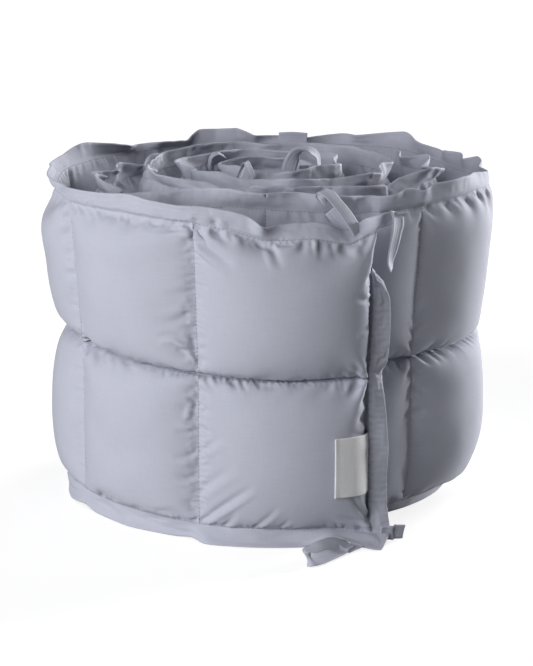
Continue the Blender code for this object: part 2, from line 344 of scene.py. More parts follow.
# Folds and creases one by one: depth, half width, side of the raised lip, then the places
# they run through, from the seam outward. A negative depth is a ridge.
FOLDS = [
    # depth,  width,  lip, (phi, z) ...
    (0.0046, 0.0032,  1, [(20.0, 0.271), (17.0, 0.263), (15.5, 0.2555), (13.0, 0.2495), (10.5, 0.244), (8.5, 0.240)]),
    (0.0016, 0.0022,  1, [(18.4, 0.276), (17.8, 0.271), (17.1, 0.266), (16.0, 0.261)]),
    (0.0034, 0.0030, -1, [(14.0, 0.276), (13.0, 0.267), (11.0, 0.260), (9.0, 0.255)]),
    (0.0018, 0.0016, -1, [(9.0, 0.2669), (5.5, 0.2634), (2.1, 0.260), (0.5, 0.253)]),
    (-0.0018, 0.0018, 1, [(3.5, 0.2616), (0.1, 0.2549), (-2.0, 0.2513)]),
    (0.0016, 0.0018,  1, [(20.5, 0.2705), (24.0, 0.269), (28.0, 0.2690), (33.0, 0.270)]),
    (0.0012, 0.0018, -1, [(20.4, 0.2665), (23.7, 0.2650), (27.6, 0.2655), (31.0, 0.267)]),
    (-0.0026, 0.0020, 1, [(19.1, 0.155), (20.6, 0.1610), (22.0, 0.1675), (24.5, 0.1712), (28.5, 0.1700)]),
    (0.0018, 0.0020,  1, [(20.8, 0.1662), (22.0, 0.1658), (24.0, 0.1640)]),
    (0.0022, 0.0020, -1, [(19.1, 0.166), (19.8, 0.173), (21.3, 0.182)]),
    (0.0014, 0.0034,  1, [(20.5, 0.195), (24.0, 0.190), (29.0, 0.1866)]),
    (0.0010, 0.0026,  1, [(20.0, 0.215), (23.0, 0.212), (26.0, 0.212)]),
    (0.0012, 0.0014,  1, [(15.2, 0.1420), (13.6, 0.1385), (12.3, 0.1350)]),
    (0.0010, 0.0014,  1, [(11.8, 0.1415), (10.6, 0.1385), (9.6, 0.1360)]),
    (0.0012, 0.0014,  1, [(8.6, 0.1410), (7.4, 0.1375), (6.2, 0.1340)]),
    (0.0007, 0.0014,  1, [(4.8, 0.1410), (3.8, 0.1375), (2.8, 0.1345)]),
    (0.0026, 0.0020, -1, [(18.9, 0.1175), (20.4, 0.1217), (21.9, 0.1252)]),
    (0.0022, 0.0020,  1, [(19.2, 0.1175), (19.9, 0.1110), (20.1, 0.1040)]),
    (0.0014, 0.0022,  1, [(19.5, 0.0950), (22.0, 0.0930), (24.5, 0.0935)]),
    (0.0014, 0.0022, -1, [(19.5, 0.0760), (22.0, 0.0735), (25.0, 0.0740)]),
    (0.0010, 0.0022, -1, [(19.5, 0.0560), (22.0, 0.0545), (25.0, 0.0560)]),
    (0.0030, 0.0022,  1, [(21.0, 0.0170), (18.0, 0.0195), (15.0, 0.0270), (11.0, 0.0380), (6.9, 0.0494), (4.5, 0.056)]),
    (0.0014, 0.0026,  1, [(19.0, 0.0772), (15.0, 0.0883), (12.0, 0.096)]),
    (0.0014, 0.0030,  1, [(19.0, 0.0427), (15.0, 0.0559), (9.0, 0.0738)]),
    (0.0011, 0.0018,  1, [(12.6, 0.0155), (10.8, 0.0225), (8.9, 0.0304)]),
    (0.0012, 0.0018,  1, [(5.0, 0.0158), (2.8, 0.0225), (0.8, 0.0296), (-1.2, 0.0388)]),
    (0.0009, 0.0016,  1, [(-1.0, 0.0160), (-2.6, 0.0210), (-3.9, 0.0260)]),
    (0.0012, 0.0030,  1, [(30.9, 0.0200), (28.0, 0.0235), (25.5, 0.0225), (23.0, 0.0175), (20.5, 0.0155)]),
    (0.0009, 0.0016,  1, [(-6.4, 0.2590), (-6.2, 0.2550), (-5.4, 0.2510)]),
    (0.0011, 0.0018, -1, [(-8.4, 0.2585), (-8.8, 0.2530), (-9.4, 0.2470)]),
    (0.0011, 0.0018,  1, [(-10.6, 0.2580), (-10.6, 0.2520), (-10.8, 0.2440)]),
    (0.0009, 0.0018, -1, [(-13.2, 0.2570), (-13.6, 0.2515), (-14.2, 0.2450)]),
    (0.0012, 0.0020, -1, [(-16.0, 0.2560), (-16.8, 0.2500), (-17.6, 0.2430)]),
    (0.0008, 0.0018,  1, [(-19.6, 0.2570), (-20.2, 0.2500), (-20.6, 0.2440)]),
    (0.0018, 0.0022,  1, [(0.4, 0.2549), (-1.0, 0.2470), (-2.2, 0.2400)]),
    (0.0018, 0.0020,  1, [(-23.4, 0.0200), (-21.0, 0.0300), (-19.0, 0.0430), (-17.0, 0.055)]),
    (0.0016, 0.0018, -1, [(-23.4, 0.0180), (-19.5, 0.0220), (-15.0, 0.0270)]),
    (0.0014, 0.0018, -1, [(-23.3, 0.0930), (-21.0, 0.0960), (-18.0, 0.0985)]),
    (0.0018, 0.0020,  1, [(-22.9, 0.1370), (-20.6, 0.1330), (-18.0, 0.1260)]),
    (0.0014, 0.0018, -1, [(-22.9, 0.1450), (-20.8, 0.1500), (-18.6, 0.1580)]),
    (0.0014, 0.0020,  1, [(-23.0, 0.2080), (-20.6, 0.2100), (-18.5, 0.2160)]),
    (0.0014, 0.0020, -1, [(-23.0, 0.1850), (-20.6, 0.1845), (-18.5, 0.1800)]),
]


# ------------------------------------------------------------------ the rolled plan
def smooth01(x):
    x = np.clip(x, 0.0, 1.0)
    return x * x * (3.0 - 2.0 * x)


def plan_radius(phi, z):
    r = R_START - PITCH * (phi - PHI_START) / 360.0
    for lap, share in ((0, 1.0), (1, 0.45), (2, 0.2)):
        r = r + SIDE_BULGE * share * np.exp(-(((phi - SIDE_PHI - 360.0 * lap) / SIDE_SPREAD) ** 2))
    upper = np.clip((z - MID_SEAM) / (STANDING - FLANGE - MID_SEAM), 0.0, 1.0)
    flare = np.where(phi < 330, 1.0, np.where(phi < 700, 0.6, 0.3))
    r = r + TOP_FLARE * upper * flare
    low_share = 1.0 - smooth01((z - 0.010) / TUCK_HEIGHT)
    r = r + CORNER_OUT * (1.0 - smooth01((z - 0.006) / 0.026)) * np.exp(-(((phi - CORNER_PHI) / CORNER_SPREAD) ** 2))
    return r - TUCK * low_share * np.exp(-(((phi - TUCK_PHI) / TUCK_SPREAD) ** 2))


def on_plan(phi, r, z):
    a = np.radians(phi)
    return np.stack([-r * np.sin(a), -r * np.cos(a), z + 0.0 * a])


def winding():
    phi = np.arange(PHI_START, PHI_START + 2400.0, 1.0)
    p = on_plan(phi, plan_radius(phi, MID_SEAM), np.zeros_like(phi))
    arc = np.r_[0.0, np.cumsum(np.hypot(*np.diff(p[:2], axis=1)))]
    return arc, phi


ARC, ARC_PHI = winding()


def seam_places():
    """Lengths along the roll at which the upright seams lie."""
    s = [FLANGE] + [float(np.interp(p, ARC_PHI, ARC)) for p in SEAM_PHI]
    while len(s) <= BOXES:
        s.append(s[-1] + BOX)
    return np.array(s)


SEAMS = seam_places()


def wavy(s, seed, pitch):
    """Smooth noise between 0 and 1 along a length."""
    rng = np.random.default_rng(seed)
    n = int(np.max(s) / pitch) + 4
    knots = rng.uniform(0, 1, n)
    x = np.clip(s / pitch, 0, n - 2)
    a = x.astype(int)
    f = smooth01(x - a)
    return knots[a] * (1 - f) + knots[a + 1] * f


class Sheet:
    """One stretch of the pad as a two-layer grid: flat sizes, rolled places, seams."""

    def __init__(self, k0, k1, nu, nv, nf, start=False, end=False):
        flat, wound, box, seam, tu = [], [], [], [], []

        def add(f, w, b, s, t):
            flat.append(f); wound.append(w); box.append(b); seam.append(s); tu.append(t)

        def box_flat(k):
            return FLANGE + FLAT_BOX * k

        def box_wound(k):
            return SEAMS[k]

        if start:
            for n in range(nf):
                add(FLANGE * n / nf, FLANGE * n / nf, -1, 0, 0)
        for k in range(k0, k1):
            for n in range(nu):
                t = n / nu
                add(box_flat(k) + FLAT_BOX * t, box_wound(k) * (1 - t) + box_wound(k + 1) * t, k, n == 0, t)
        add(box_flat(k1), box_wound(k1), k1, 1, 0)
        if end:
            for n in range(1, nf + 1):
                add(box_flat(k1) + FLANGE * n / nf, box_wound(k1) + FLANGE * n / nf, k1, 0, 0)
        self.U, self.S = np.array(flat), np.array(wound)
        self.box, self.seam_col, self.tu = np.array(box), np.array(seam, bool), np.array(tu)
        self.phi = np.interp(self.S, ARC, ARC_PHI)
        V, part, t = [], [], []
        for n in range(nf):
            V.append(FLANGE * n / nf); part.append(0); t.append(n / nf)
        for n in range(nv):
            V.append(FLANGE + FLAT_ROW * n / nv); part.append(1); t.append(n / nv)
        for n in range(nv):
            V.append(FLANGE + FLAT_ROW * (1 + n / nv)); part.append(2); t.append(n / nv)
        for n in range(nf + 1):
            V.append(FLANGE * (1 + n / nf) + 2 * FLAT_ROW); part.append(3); t.append(n / nf)
        self.V, self.part, self.t = np.array(V), np.array(part), np.array(t)
        self.nf, self.nv, self.nu = nf, nv, nu
        self.j_low, self.j_mid, self.j_top = nf, nf + nv, nf + 2 * nv
        ni, nj = len(self.U), len(self.V)
        self.ni, self.nj, self.start, self.end = ni, nj, start, end

        # rolled places of the middle surface
        phi = self.phi
        lv = [np.interp(phi, LEVELS[:, 0], LEVELS[:, c]) for c in (1, 2, 3)]
        rise = np.clip((np.interp(phi, EDGE[:, 0], EDGE[:, 1]) - lv[2]) / FLANGE, -0.3, 1.02)
        side = np.interp(phi, EDGE[:, 0], EDGE[:, 2])
        near = np.exp(-((self.S[:, None] - self.S[None, :]) / 0.0065) ** 2)
        side = np.where(phi > 190, near @ side / near.sum(1), side)
        share = np.where(phi > 329, 0.60, np.where(phi < 4, 0.8, np.where(phi > 95, 0.36, 0.30)))
        lean = share * side * np.sqrt(np.clip(1 - np.minimum(rise, 1) ** 2, 0, 1)) * FLANGE
        lean += side * np.where(phi > 95, 0.0030, 0.0008)
        splay = np.interp(phi, SPLAY[:, 0], SPLAY[:, 1]) + np.where(phi < 335, 0.0024 * (wavy(self.U, 31, 0.030) - 0.5), 0.0)
        z, r = np.zeros((ni, nj)), np.zeros((ni, nj))
        for j in range(nj):
            p, tt = part[j], t[j]
            if p == 0:
                z[:, j] = lv[0] * tt + np.interp(phi, LIFT[:, 0], LIFT[:, 1]) * (1 - tt)
                r[:, j] = plan_radius(phi, lv[0]) + (1 - tt) * splay
            elif p == 1:
                z[:, j] = lv[0] * (1 - tt) + lv[1] * tt
                r[:, j] = plan_radius(phi, z[:, j])
            elif p == 2:
                z[:, j] = lv[1] * (1 - tt) + lv[2] * tt
                r[:, j] = plan_radius(phi, z[:, j])
            else:
                z[:, j] = lv[2] + FLANGE * tt * rise
                r[:, j] = plan_radius(phi, lv[2]) + tt * lean
        if start:
            wave = np.interp(z, END_WAVE[:, 0], END_WAVE[:, 1])
            r += wave * np.clip(1 - self.S / FLANGE, 0, 1)[:, None]
        deep = ((phi > -23) & (phi < 345)) * (1.0 + 1.3 * np.exp(-((phi - 88.0) / 36.0) ** 2))
        rim_share = 0.15 + 0.85 * wavy(self.U, 21, 0.045)
        if start:
            sunk = END_DEPTH * smooth01((z - 0.010) / 0.02) * smooth01((0.262 - z) / 0.02)
            near = np.exp(-((self.S - FLANGE) / 0.0045) ** 2)[:, None]
            r -= sunk * near * (self.S <= FLANGE + 1e-9)[:, None]
        r[:, self.j_mid] -= MID_DEPTH * deep
        r[:, self.j_low] -= RIM_DEPTH * deep * rim_share
        r[:, self.j_top] -= RIM_DEPTH * deep * rim_share
        a = np.radians(phi)[:, None]
        turned = a + 0.0 * z
        if start:
            hidden = 1 - np.interp(z, END_FOLD[:, 0], END_FOLD[:, 1])
            turned += hidden * np.clip(FLANGE - self.S, 0, None)[:, None] / r
            foot = np.where(self.part == 0, 1 - self.t, 0.0)[None, :]
            turned += math.radians(CORNER_TURN) * foot * np.clip(1 - self.S / 0.030, 0, 1)[:, None]
            crown = np.where(self.part == 3, self.t, 0.0)[None, :]
            turned -= math.radians(TOP_CORNER_TURN) * crown * np.clip(1 - self.S / 0.016, 0, 1)[:, None]
        self.T = np.stack([-r * np.sin(turned), -r * np.cos(turned), z]).astype(F32)
        self.e = np.stack([-np.sin(a[:, 0]), -np.cos(a[:, 0])]).astype(F32)
        self.rho = r.astype(F32)

        # nodes the two layers share
        tied = np.zeros((ni, nj), bool)
        tied[:, :nf + 1] = True
        tied[:, self.j_mid] = True
        tied[:, self.j_top:] = True
        tied[self.seam_col, :] = True
        if start:
            tied[:nf + 1, :] = True
        if end:
            tied[-nf - 1:, :] = True
        self.tied = tied
        self.free = (~tied).astype(F32)

        # how strongly a node is held at its rolled place
        pin = np.zeros((ni, nj))
        pin[self.seam_col, nf:self.j_top + 1] = 0.10
        pin[:, [self.j_low, self.j_mid, self.j_top]] = 0.12
        pin[:, 0] = 0.15
        pin[:, -1] = 0.12
        pin[:, self.j_top + 1:-1] = 0.03
        if start:
            pin[0, :] = 0.10
            pin[1:nf, self.j_mid] = 0.0
        if end:
            pin[-1, :] = 0.10
        self.pin = pin.astype(F32)

        # room: half way to the next turn on each side
        gap_in = (plan_radius(phi, MID_SEAM) - plan_radius(phi + 360.0, MID_SEAM)) / 2
        gap_out = (plan_radius(phi - 360.0, MID_SEAM) - plan_radius(phi, MID_SEAM)) / 2
        inmost = ARC_PHI[np.searchsorted(ARC, SEAMS[-1] + FLANGE)] - 360.0
        g = 0.0005
        room_in = np.where(phi > inmost, 0.017, gap_in - g)
        room_out = np.where(phi < 327.0, 1.0, np.where(phi < 345.0, gap_out + 0.004, gap_out - g))
        self.room_in = np.repeat(room_in[:, None], nj, 1).astype(F32)
        self.room_out = np.repeat(room_out[:, None], nj, 1).astype(F32)

        # the shape each layer is cut for: a pillow of elliptical section in every box,
        # its cloth leaving the seams almost square
        power = np.where((self.box == 0) & (self.tu < 0.5), 0.62 - 0.16 * smooth01((0.5 - self.tu) / 0.4), 0.62)
        across = np.sin(np.pi * self.tu).clip(0) ** power
        full_rim, full_mid, up_share, low_share = (np.interp(phi, FULL[:, 0], FULL[:, c]) for c in (1, 2, 3, 4))
        swell_out = np.where(phi < 327.0, BULGE_OUT, np.minimum(BULGE_IN, gap_out - g))
        swell_in = np.minimum(BULGE_IN, room_in)
        deep_mid = MID_DEPTH * deep
        deep_rim = RIM_DEPTH * deep * rim_share
        self.S2 = np.stack([self.T, self.T], axis=1).astype(np.float64)
        S2 = self.S2
        theta = np.linspace(0, np.pi, 361)
        for p, ja, jb in ((1, self.j_low, self.j_mid), (2, self.j_mid, self.j_top)):
            js = np.arange(ja + 1, jb)
            za, zb = z[:, ja], z[:, jb]
            for layer, swell, sign in ((0, swell_out, 1.0), (1, swell_in, -1.0)):
                for i in range(ni):
                    b = swell[i] * across[i]
                    if layer == 0 and phi[i] < 327:
                        b *= low_share[i] if p == 1 else up_share[i]
                    q = 1.0
                    if layer == 0 and phi[i] < 335:
                        q = np.where((theta < np.pi / 2) == (p == 1), full_rim[i], full_mid[i])
                    out = b * np.sin(theta).clip(0) ** q
                    step = np.hypot(np.diff(out), np.diff(np.cos(theta)) * 0.5 * (zb[i] - za[i]))
                    run = np.r_[0, np.cumsum(step)]
                    th = np.interp(self.t[js], run / run[-1], theta)
                    zz_ = za[i] + (zb[i] - za[i]) * 0.5 * (1 - np.cos(th))
                    rr = plan_radius(phi[i], zz_) + sign * np.interp(th, theta, out)
                    if tied[i, js[0]]:
                        continue
                    # drawn in towards the deeper seams
                    near_a = np.exp(-th / 0.35) * (deep_rim[i] if p == 1 else deep_mid[i])
                    near_b = np.exp(-(np.pi - th) / 0.35) * (deep_mid[i] if p == 1 else deep_rim[i])
                    rr -= near_a + near_b
                    S2[0, layer, i, js] = rr * self.e[0, i]
                    S2[1, layer, i, js] = rr * self.e[1, i]
                    S2[2, layer, i, js] = zz_
        if start:
            run = self.S - FLANGE
            over = OVERHANG * np.exp(-run / 0.009) * (run > 1e-6) * (self.box == 0)
            tip = np.stack([-np.cos(a[:, 0]), np.sin(a[:, 0])])       # towards larger plan angles
            proud = np.linalg.norm(S2[:2, 0] - S2[:2, 1], axis=0) / (BULGE_OUT + BULGE_IN)
            for c in range(2):
                S2[c, 0] -= tip[c][:, None] * over[:, None] * np.minimum(proud * 2.2, 1.0)
        length = lambda a, b: np.sqrt(((S2[b] - S2[a]) ** 2).sum(0))
        Lu, Lv = length(UA, UB), length(VA, VB)
        Ld, Le = length(DA, DB), length(EA, EB)

        # spare cloth, which the seams gather into puckers
        dv = np.minimum.reduce([np.abs(self.V - self.V[j]) for j in (self.j_low, self.j_mid, self.j_top)])
        seams = self.U[self.seam_col]
        du = np.min(np.abs(self.U[:, None] - seams[None, :]), axis=1)
        outer_turn = (phi < 335)
        wu = np.exp(-(dv / 0.012) ** 2)[None, :] * (dv > 1e-6)[None, :]
        by_mid = np.exp(-((self.V - self.V[self.j_mid]) / 0.016) ** 2)[None, :]
        by_low = np.exp(-((self.V - self.V[self.j_low]) / 0.016) ** 2)[None, :]
        wu = wu * (1 - (0.75 * by_mid + 0.55 * by_low) * (phi < 60)[:, None])
        wv = np.exp(-(du / 0.011) ** 2)[:, None] * (du > 1e-6)[:, None]
        in_box = ((self.part == 1) | (self.part == 2))[None, :] * np.ones((ni, 1))
        var_u = 0.15 + 1.9 * wavy(self.U, 5, 0.030)[:, None] ** 1.6
        var_v = 0.15 + 1.9 * wavy(self.V, 6, 0.026)[None, :] ** 1.6 * (0.5 + wavy(self.U, 7, 0.15)[:, None])
        eu = np.zeros((2, ni, nj)); ev = np.zeros((2, ni, nj))
        base = np.where(outer_turn, -0.010, 0.012)[:, None]
        eu[0] = base + 0.044 * wu * var_u
        ev[0] = base - 0.004 + np.where(phi < 75, 0.026, 0.036)[:, None] * wv * var_v
        eu[1] = 0.025 + 0.045 * wu * var_u
        ev[1] = 0.010 + 0.030 * wv * var_v
        zz = z
        for g_phi, g_z, hp, hz, au, av in GATHERS:
            w = np.exp(-((phi - g_phi) / hp)[:, None] ** 2 - ((zz - g_z) / hz) ** 2)
            eu[0] += au * w
            ev[0] += av * w
        eu *= in_box; ev *= in_box
        seam_node = tied & (in_box > 0)
        eu[:, seam_node] = 0.012
        eu[:, phi < 75, self.j_low] = 0.0
        ev[:, seam_node] = 0.012
        fl = (1 - in_box)
        ruffle = np.where(phi < 75, 0.012, 0.045)[:, None] * (0.3 + 1.4 * wavy(self.U, 8, 0.05)[:, None])
        for e in (eu, ev):
            e[:] += fl * (ruffle * np.where(self.part == 3, self.t, 0.1)[None, :])[None] * (1 if e is eu else 0.2)
        mid = lambda e, a, b: 1 + 0.5 * (e[a[1:]] + e[b[1:]])
        self.Lu = (Lu * mid(eu, UA, UB)).astype(F32)
        self.Lv = (Lv * mid(ev, VA, VB)).astype(F32)
        es = 0.5 * (eu + ev)
        self.Ld = (Ld * mid(es, DA, DB)).astype(F32)
        self.Le = (Le * mid(es, EA, EB)).astype(F32)
        self.Lu2 = self.Lu[:, :-1] + self.Lu[:, 1:]
        self.Lv2 = self.Lv[:, :, :-1] + self.Lv[:, :, 1:]
        self.Lu2[:, tied[1:-1]] *= np.where(in_box[1:-1] > 0, 0, 1)[tied[1:-1]]
        self.Lv2[:, tied[:, 1:-1]] *= np.where(in_box[:, 1:-1] > 0, 0, 1)[tied[:, 1:-1]]


A = slice(None)
UA, UB = (A, A, slice(None, -1), A), (A, A, slice(1, None), A)
VA, VB = (A, A, A, slice(None, -1)), (A, A, A, slice(1, None))
DA, DB = (A, A, slice(None, -1), slice(None, -1)), (A, A, slice(1, None), slice(1, None))
EA, EB = (A, A, slice(None, -1), slice(1, None)), (A, A, slice(1, None), slice(None, -1))
U2A, U2B = (A, A, slice(None, -2), A), (A, A, slice(2, None), A)
V2A, V2B = (A, A, A, slice(None, -2)), (A, A, A, slice(2, None))


def noise_like(shape, seed, amount):
    return np.random.default_rng(seed).normal(0.0, amount, shape).astype(F32)


def pull(X, a, b, L, s):
    d = X[b] - X[a]
    l = np.sqrt(np.einsum("cljk,cljk->ljk", d, d)) + F32(1e-9)
    d *= F32(s) * (1 - L / l)
    X[a] += d
    X[b] -= d


def push_apart(X, a, b, L, s):
    """Resists folding: acts only when the two ends come closer than laid flat."""
    d = X[b] - X[a]
    l = np.sqrt(np.einsum("cljk,cljk->ljk", d, d)) + F32(1e-9)
    d *= F32(s) * np.minimum(1 - L / l, 0)
    X[a] += d
    X[b] -= d


def relax(sh, X, steps, press, beta=0.96, bend=0.05, hold=(False, False)):
    h = float(np.mean(np.diff(sh.U)))
    force = F32(press * h * h)
    fill = np.random.default_rng(40).uniform(0.9, 1.1, (BOXES + 2, 2))
    amount = np.ones((sh.ni, sh.nj))
    for p, c in ((1, 0), (2, 1)):
        amount[:, sh.part == p] = fill[np.clip(sh.box, 0, BOXES), c][:, None]
    amount = (sh.free * amount * force).astype(F32)
    Xp = X.copy()
    fixed = []
    if hold[0]:
        fixed.append((slice(0, 2), X[:, :, 0:2].copy()))
    if hold[1]:
        fixed.append((slice(-2, None), X[:, :, -2:].copy()))
    tied, pin = sh.tied[None], sh.pin[None]
    ex, ey = sh.e[0][None, :, None], sh.e[1][None, :, None]
    n = np.zeros_like(X)
    for it in range(steps):
        V = (X - Xp) * F32(beta)
        Xp = X.copy()
        if it % 2 == 0:
            du = X[:, :, 2:, 1:-1] - X[:, :, :-2, 1:-1]
            dv = X[:, :, 1:-1, 2:] - X[:, :, 1:-1, :-2]
            c = np.stack([dv[1] * du[2] - dv[2] * du[1], dv[2] * du[0] - dv[0] * du[2], dv[0] * du[1] - dv[1] * du[0]])
            c /= np.sqrt((c * c).sum(0)) + F32(1e-12)
            n[:, :, 1:-1, 1:-1] = c
            n[:, 0] *= amount
            n[:, 1] *= -amount
        X += V
        X += n
        X[2] -= force * F32(0.10)
        pull(X, UA, UB, sh.Lu, 0.36)
        pull(X, VA, VB, sh.Lv, 0.36)
        pull(X, DA, DB, sh.Ld, 0.08)
        pull(X, EA, EB, sh.Le, 0.08)
        push_apart(X, U2A, U2B, sh.Lu2, bend)
        push_apart(X, V2A, V2B, sh.Lv2, bend)
        # the two layers share their seams and the flange
        m = 0.5 * (X[:, 0] + X[:, 1])
        m += (sh.T - m) * pin
        X[:, 0] = np.where(tied, m, X[:, 0])
        X[:, 1] = np.where(tied, m, X[:, 1])
        # each turn keeps to its own space between its neighbours
        rho = X[0] * ex + X[1] * ey
        d = rho - sh.rho
        shift = np.minimum(sh.room_out - d, 0) + np.maximum(-sh.room_in - d, 0)
        gap = d[0] - d[1]
        both = np.maximum(F32(0.0008) - gap, 0) * sh.free * F32(0.5)
        shift[0] += both
        shift[1] -= both
        X[0] += shift * ex
        X[1] += shift * ey
        jm, k = sh.j_mid, sh.nv // 9
        seam_z = X[2][:, :, jm:jm + 1]
        np.maximum(X[2][:, :, jm + 1:jm + 1 + k], seam_z + F32(0.0002), out=X[2][:, :, jm + 1:jm + 1 + k])
        np.minimum(X[2][:, :, jm - k:jm], seam_z - F32(0.0002), out=X[2][:, :, jm - k:jm])
        np.maximum(X[2], F32(0.0006), out=X[2])
        for s, keep in fixed:
            X[:, :, s] = keep
            Xp[:, :, s] = keep
    return X


def settle(sh, X, rounds):
    """Smooth the taut middle of each box of the outer turn, and leave the cloth by the seams."""
    dv = np.minimum.reduce([np.abs(sh.V - sh.V[j]) for j in (sh.j_low, sh.j_mid, sh.j_top)])
    du = np.min(np.abs(sh.U[:, None] - sh.U[sh.seam_col][None, :]), axis=1)
    w = smooth01((np.minimum(du[:, None], dv[None, :]) - 0.006) / 0.024) * sh.free
    outer = np.clip((345.0 - sh.phi) / 10.0, 0.0, 1.0)[:, None]
    w = (w * (0.25 + 0.75 * outer)).astype(F32)[1:-1, 1:-1]
    for _ in range(rounds):
        c = X[:, :, 1:-1, 1:-1]
        lap = 0.25 * (X[:, :, 2:, 1:-1] + X[:, :, :-2, 1:-1] + X[:, :, 1:-1, 2:] + X[:, :, 1:-1, :-2]) - c
        lap[:, 0] *= w
        lap[:, 1] *= w * 0.2
        c += lap * F32(0.9)
    # the flanges of the outer turn lie flat
    keep = (sh.part == 0) | ((sh.part == 3) & (sh.t > 0.2))
    strength = np.where(sh.part == 0, 0.85 * (1 - 0.6 * sh.t), 0.12)[keep].astype(F32)
    by_turn = (np.clip((345.0 - sh.phi) / 20.0, 0, 1) * (sh.S > FLANGE + 0.002)).astype(F32)[1:-1, None] * strength
    F = X[:, :, :, keep]
    for _ in range(8):
        F[:, :, 1:-1] += by_turn * (0.5 * (F[:, :, 2:] + F[:, :, :-2]) - F[:, :, 1:-1])
    X[:, :, :, keep] = F
    return X


def refine(coarse, fine, X):
    """Carry a shape from a coarse grid to a finer one of the same stretch of cloth."""
    iu = np.interp(fine.U, coarse.U, np.arange(coarse.ni))
    iv = np.interp(fine.V, coarse.V, np.arange(coarse.nj))
    a = np.minimum(iu.astype(int), coarse.ni - 2); fa = (iu - a).astype(F32)
    b = np.minimum(iv.astype(int), coarse.nj - 2); fb = (iv - b).astype(F32)
    Y = X[:, :, a] * (1 - fa)[None, None, :, None] + X[:, :, a + 1] * fa[None, None, :, None]
    return Y[:, :, :, b] * (1 - fb) + Y[:, :, :, b + 1] * fb


def clock(name, sh):
    print(name, sh.ni, sh.nj, round(time.time() - T0, 1))


coarse = Sheet(0, BOXES, 16, 14, 2, True, True)
X = relax(coarse, coarse.S2.astype(F32) + noise_like(coarse.S2.shape, 1, 0.0004), 200, 0.06, 0.96)
clock("coarse", coarse)
middle = Sheet(0, BOXES, 32, 28, 4, True, True)
X = refine(coarse, middle, X)
X = relax(middle, X + noise_like(X.shape, 2, 0.00020), 250, 0.06, 0.95)
clock("middle", middle)
base_sheet, base_X = middle, X
fine = Sheet(0, BOXES, 64, 56, 8, True, True)
X = refine(middle, fine, X)
X = relax(fine, X + noise_like(X.shape, 3, 0.00008), 250, 0.06, 0.94)
X = settle(fine, X, 30)
clock("fine", fine)
base_sheet, base_X = fine, X


# ------------------------------------------------------------------ meshes
def normals(X):
    """Outward unit normals of a (3, ni, nj) grid."""
    n = np.cross(np.gradient(X, axis=2), np.gradient(X, axis=1), axis=0)
    return n / (np.linalg.norm(n, axis=0) + 1e-12)


def layered(sh, X):
    """Give the sewn-together layers their thickness."""
    X = X.astype(np.float64)
    n = normals(0.5 * (X[:, 0] + X[:, 1]))
    half = np.full((sh.ni, sh.nj), 0.0004)
    for j in range(sh.nj):
        if sh.part[j] in (0, 3):
            edge = 1 - sh.t[j] if sh.part[j] == 0 else sh.t[j]
            half[:, j] = 0.0004 + 0.0004 * math.sin(math.pi * min(edge * 1.2, 1.0)) + 0.0003 * (edge > 0.8)
    w = sh.tied * half * n
    X[:, 0] += w
    X[:, 1] -= w
    return X


def grid_faces(idx, flip=False):
    a, b, c, d = idx[:-1, :-1], idx[1:, :-1], idx[1:, 1:], idx[:-1, 1:]
    q = np.stack([a, b, c, d] if flip else [a, d, c, b], -1)
    return q.reshape(-1, 4)


def new_mesh(name, P, faces, uv, mat):
    mesh = bpy.data.meshes.new(name)
    mesh.vertices.add(len(P))
    mesh.vertices.foreach_set("co", np.asarray(P, F32).ravel())
    mesh.loops.add(faces.size)
    mesh.loops.foreach_set("vertex_index", faces.astype(np.int32).ravel())
    mesh.polygons.add(len(faces))
    mesh.polygons.foreach_set("loop_start", np.arange(0, faces.size, faces.shape[1], dtype=np.int32))
    mesh.polygons.foreach_set("use_smooth", np.ones(len(faces), bool))
    layer = mesh.uv_layers.new(name="flat")
    layer.data.foreach_set("uv", np.asarray(uv, F32)[faces.ravel()].ravel())
    mesh.update(calc_edges=True)
    mesh.validate()
    obj = bpy.data.objects.new(name, mesh)
    bpy.context.scene.collection.objects.link(obj)
    mesh.materials.append(mat)
    return obj


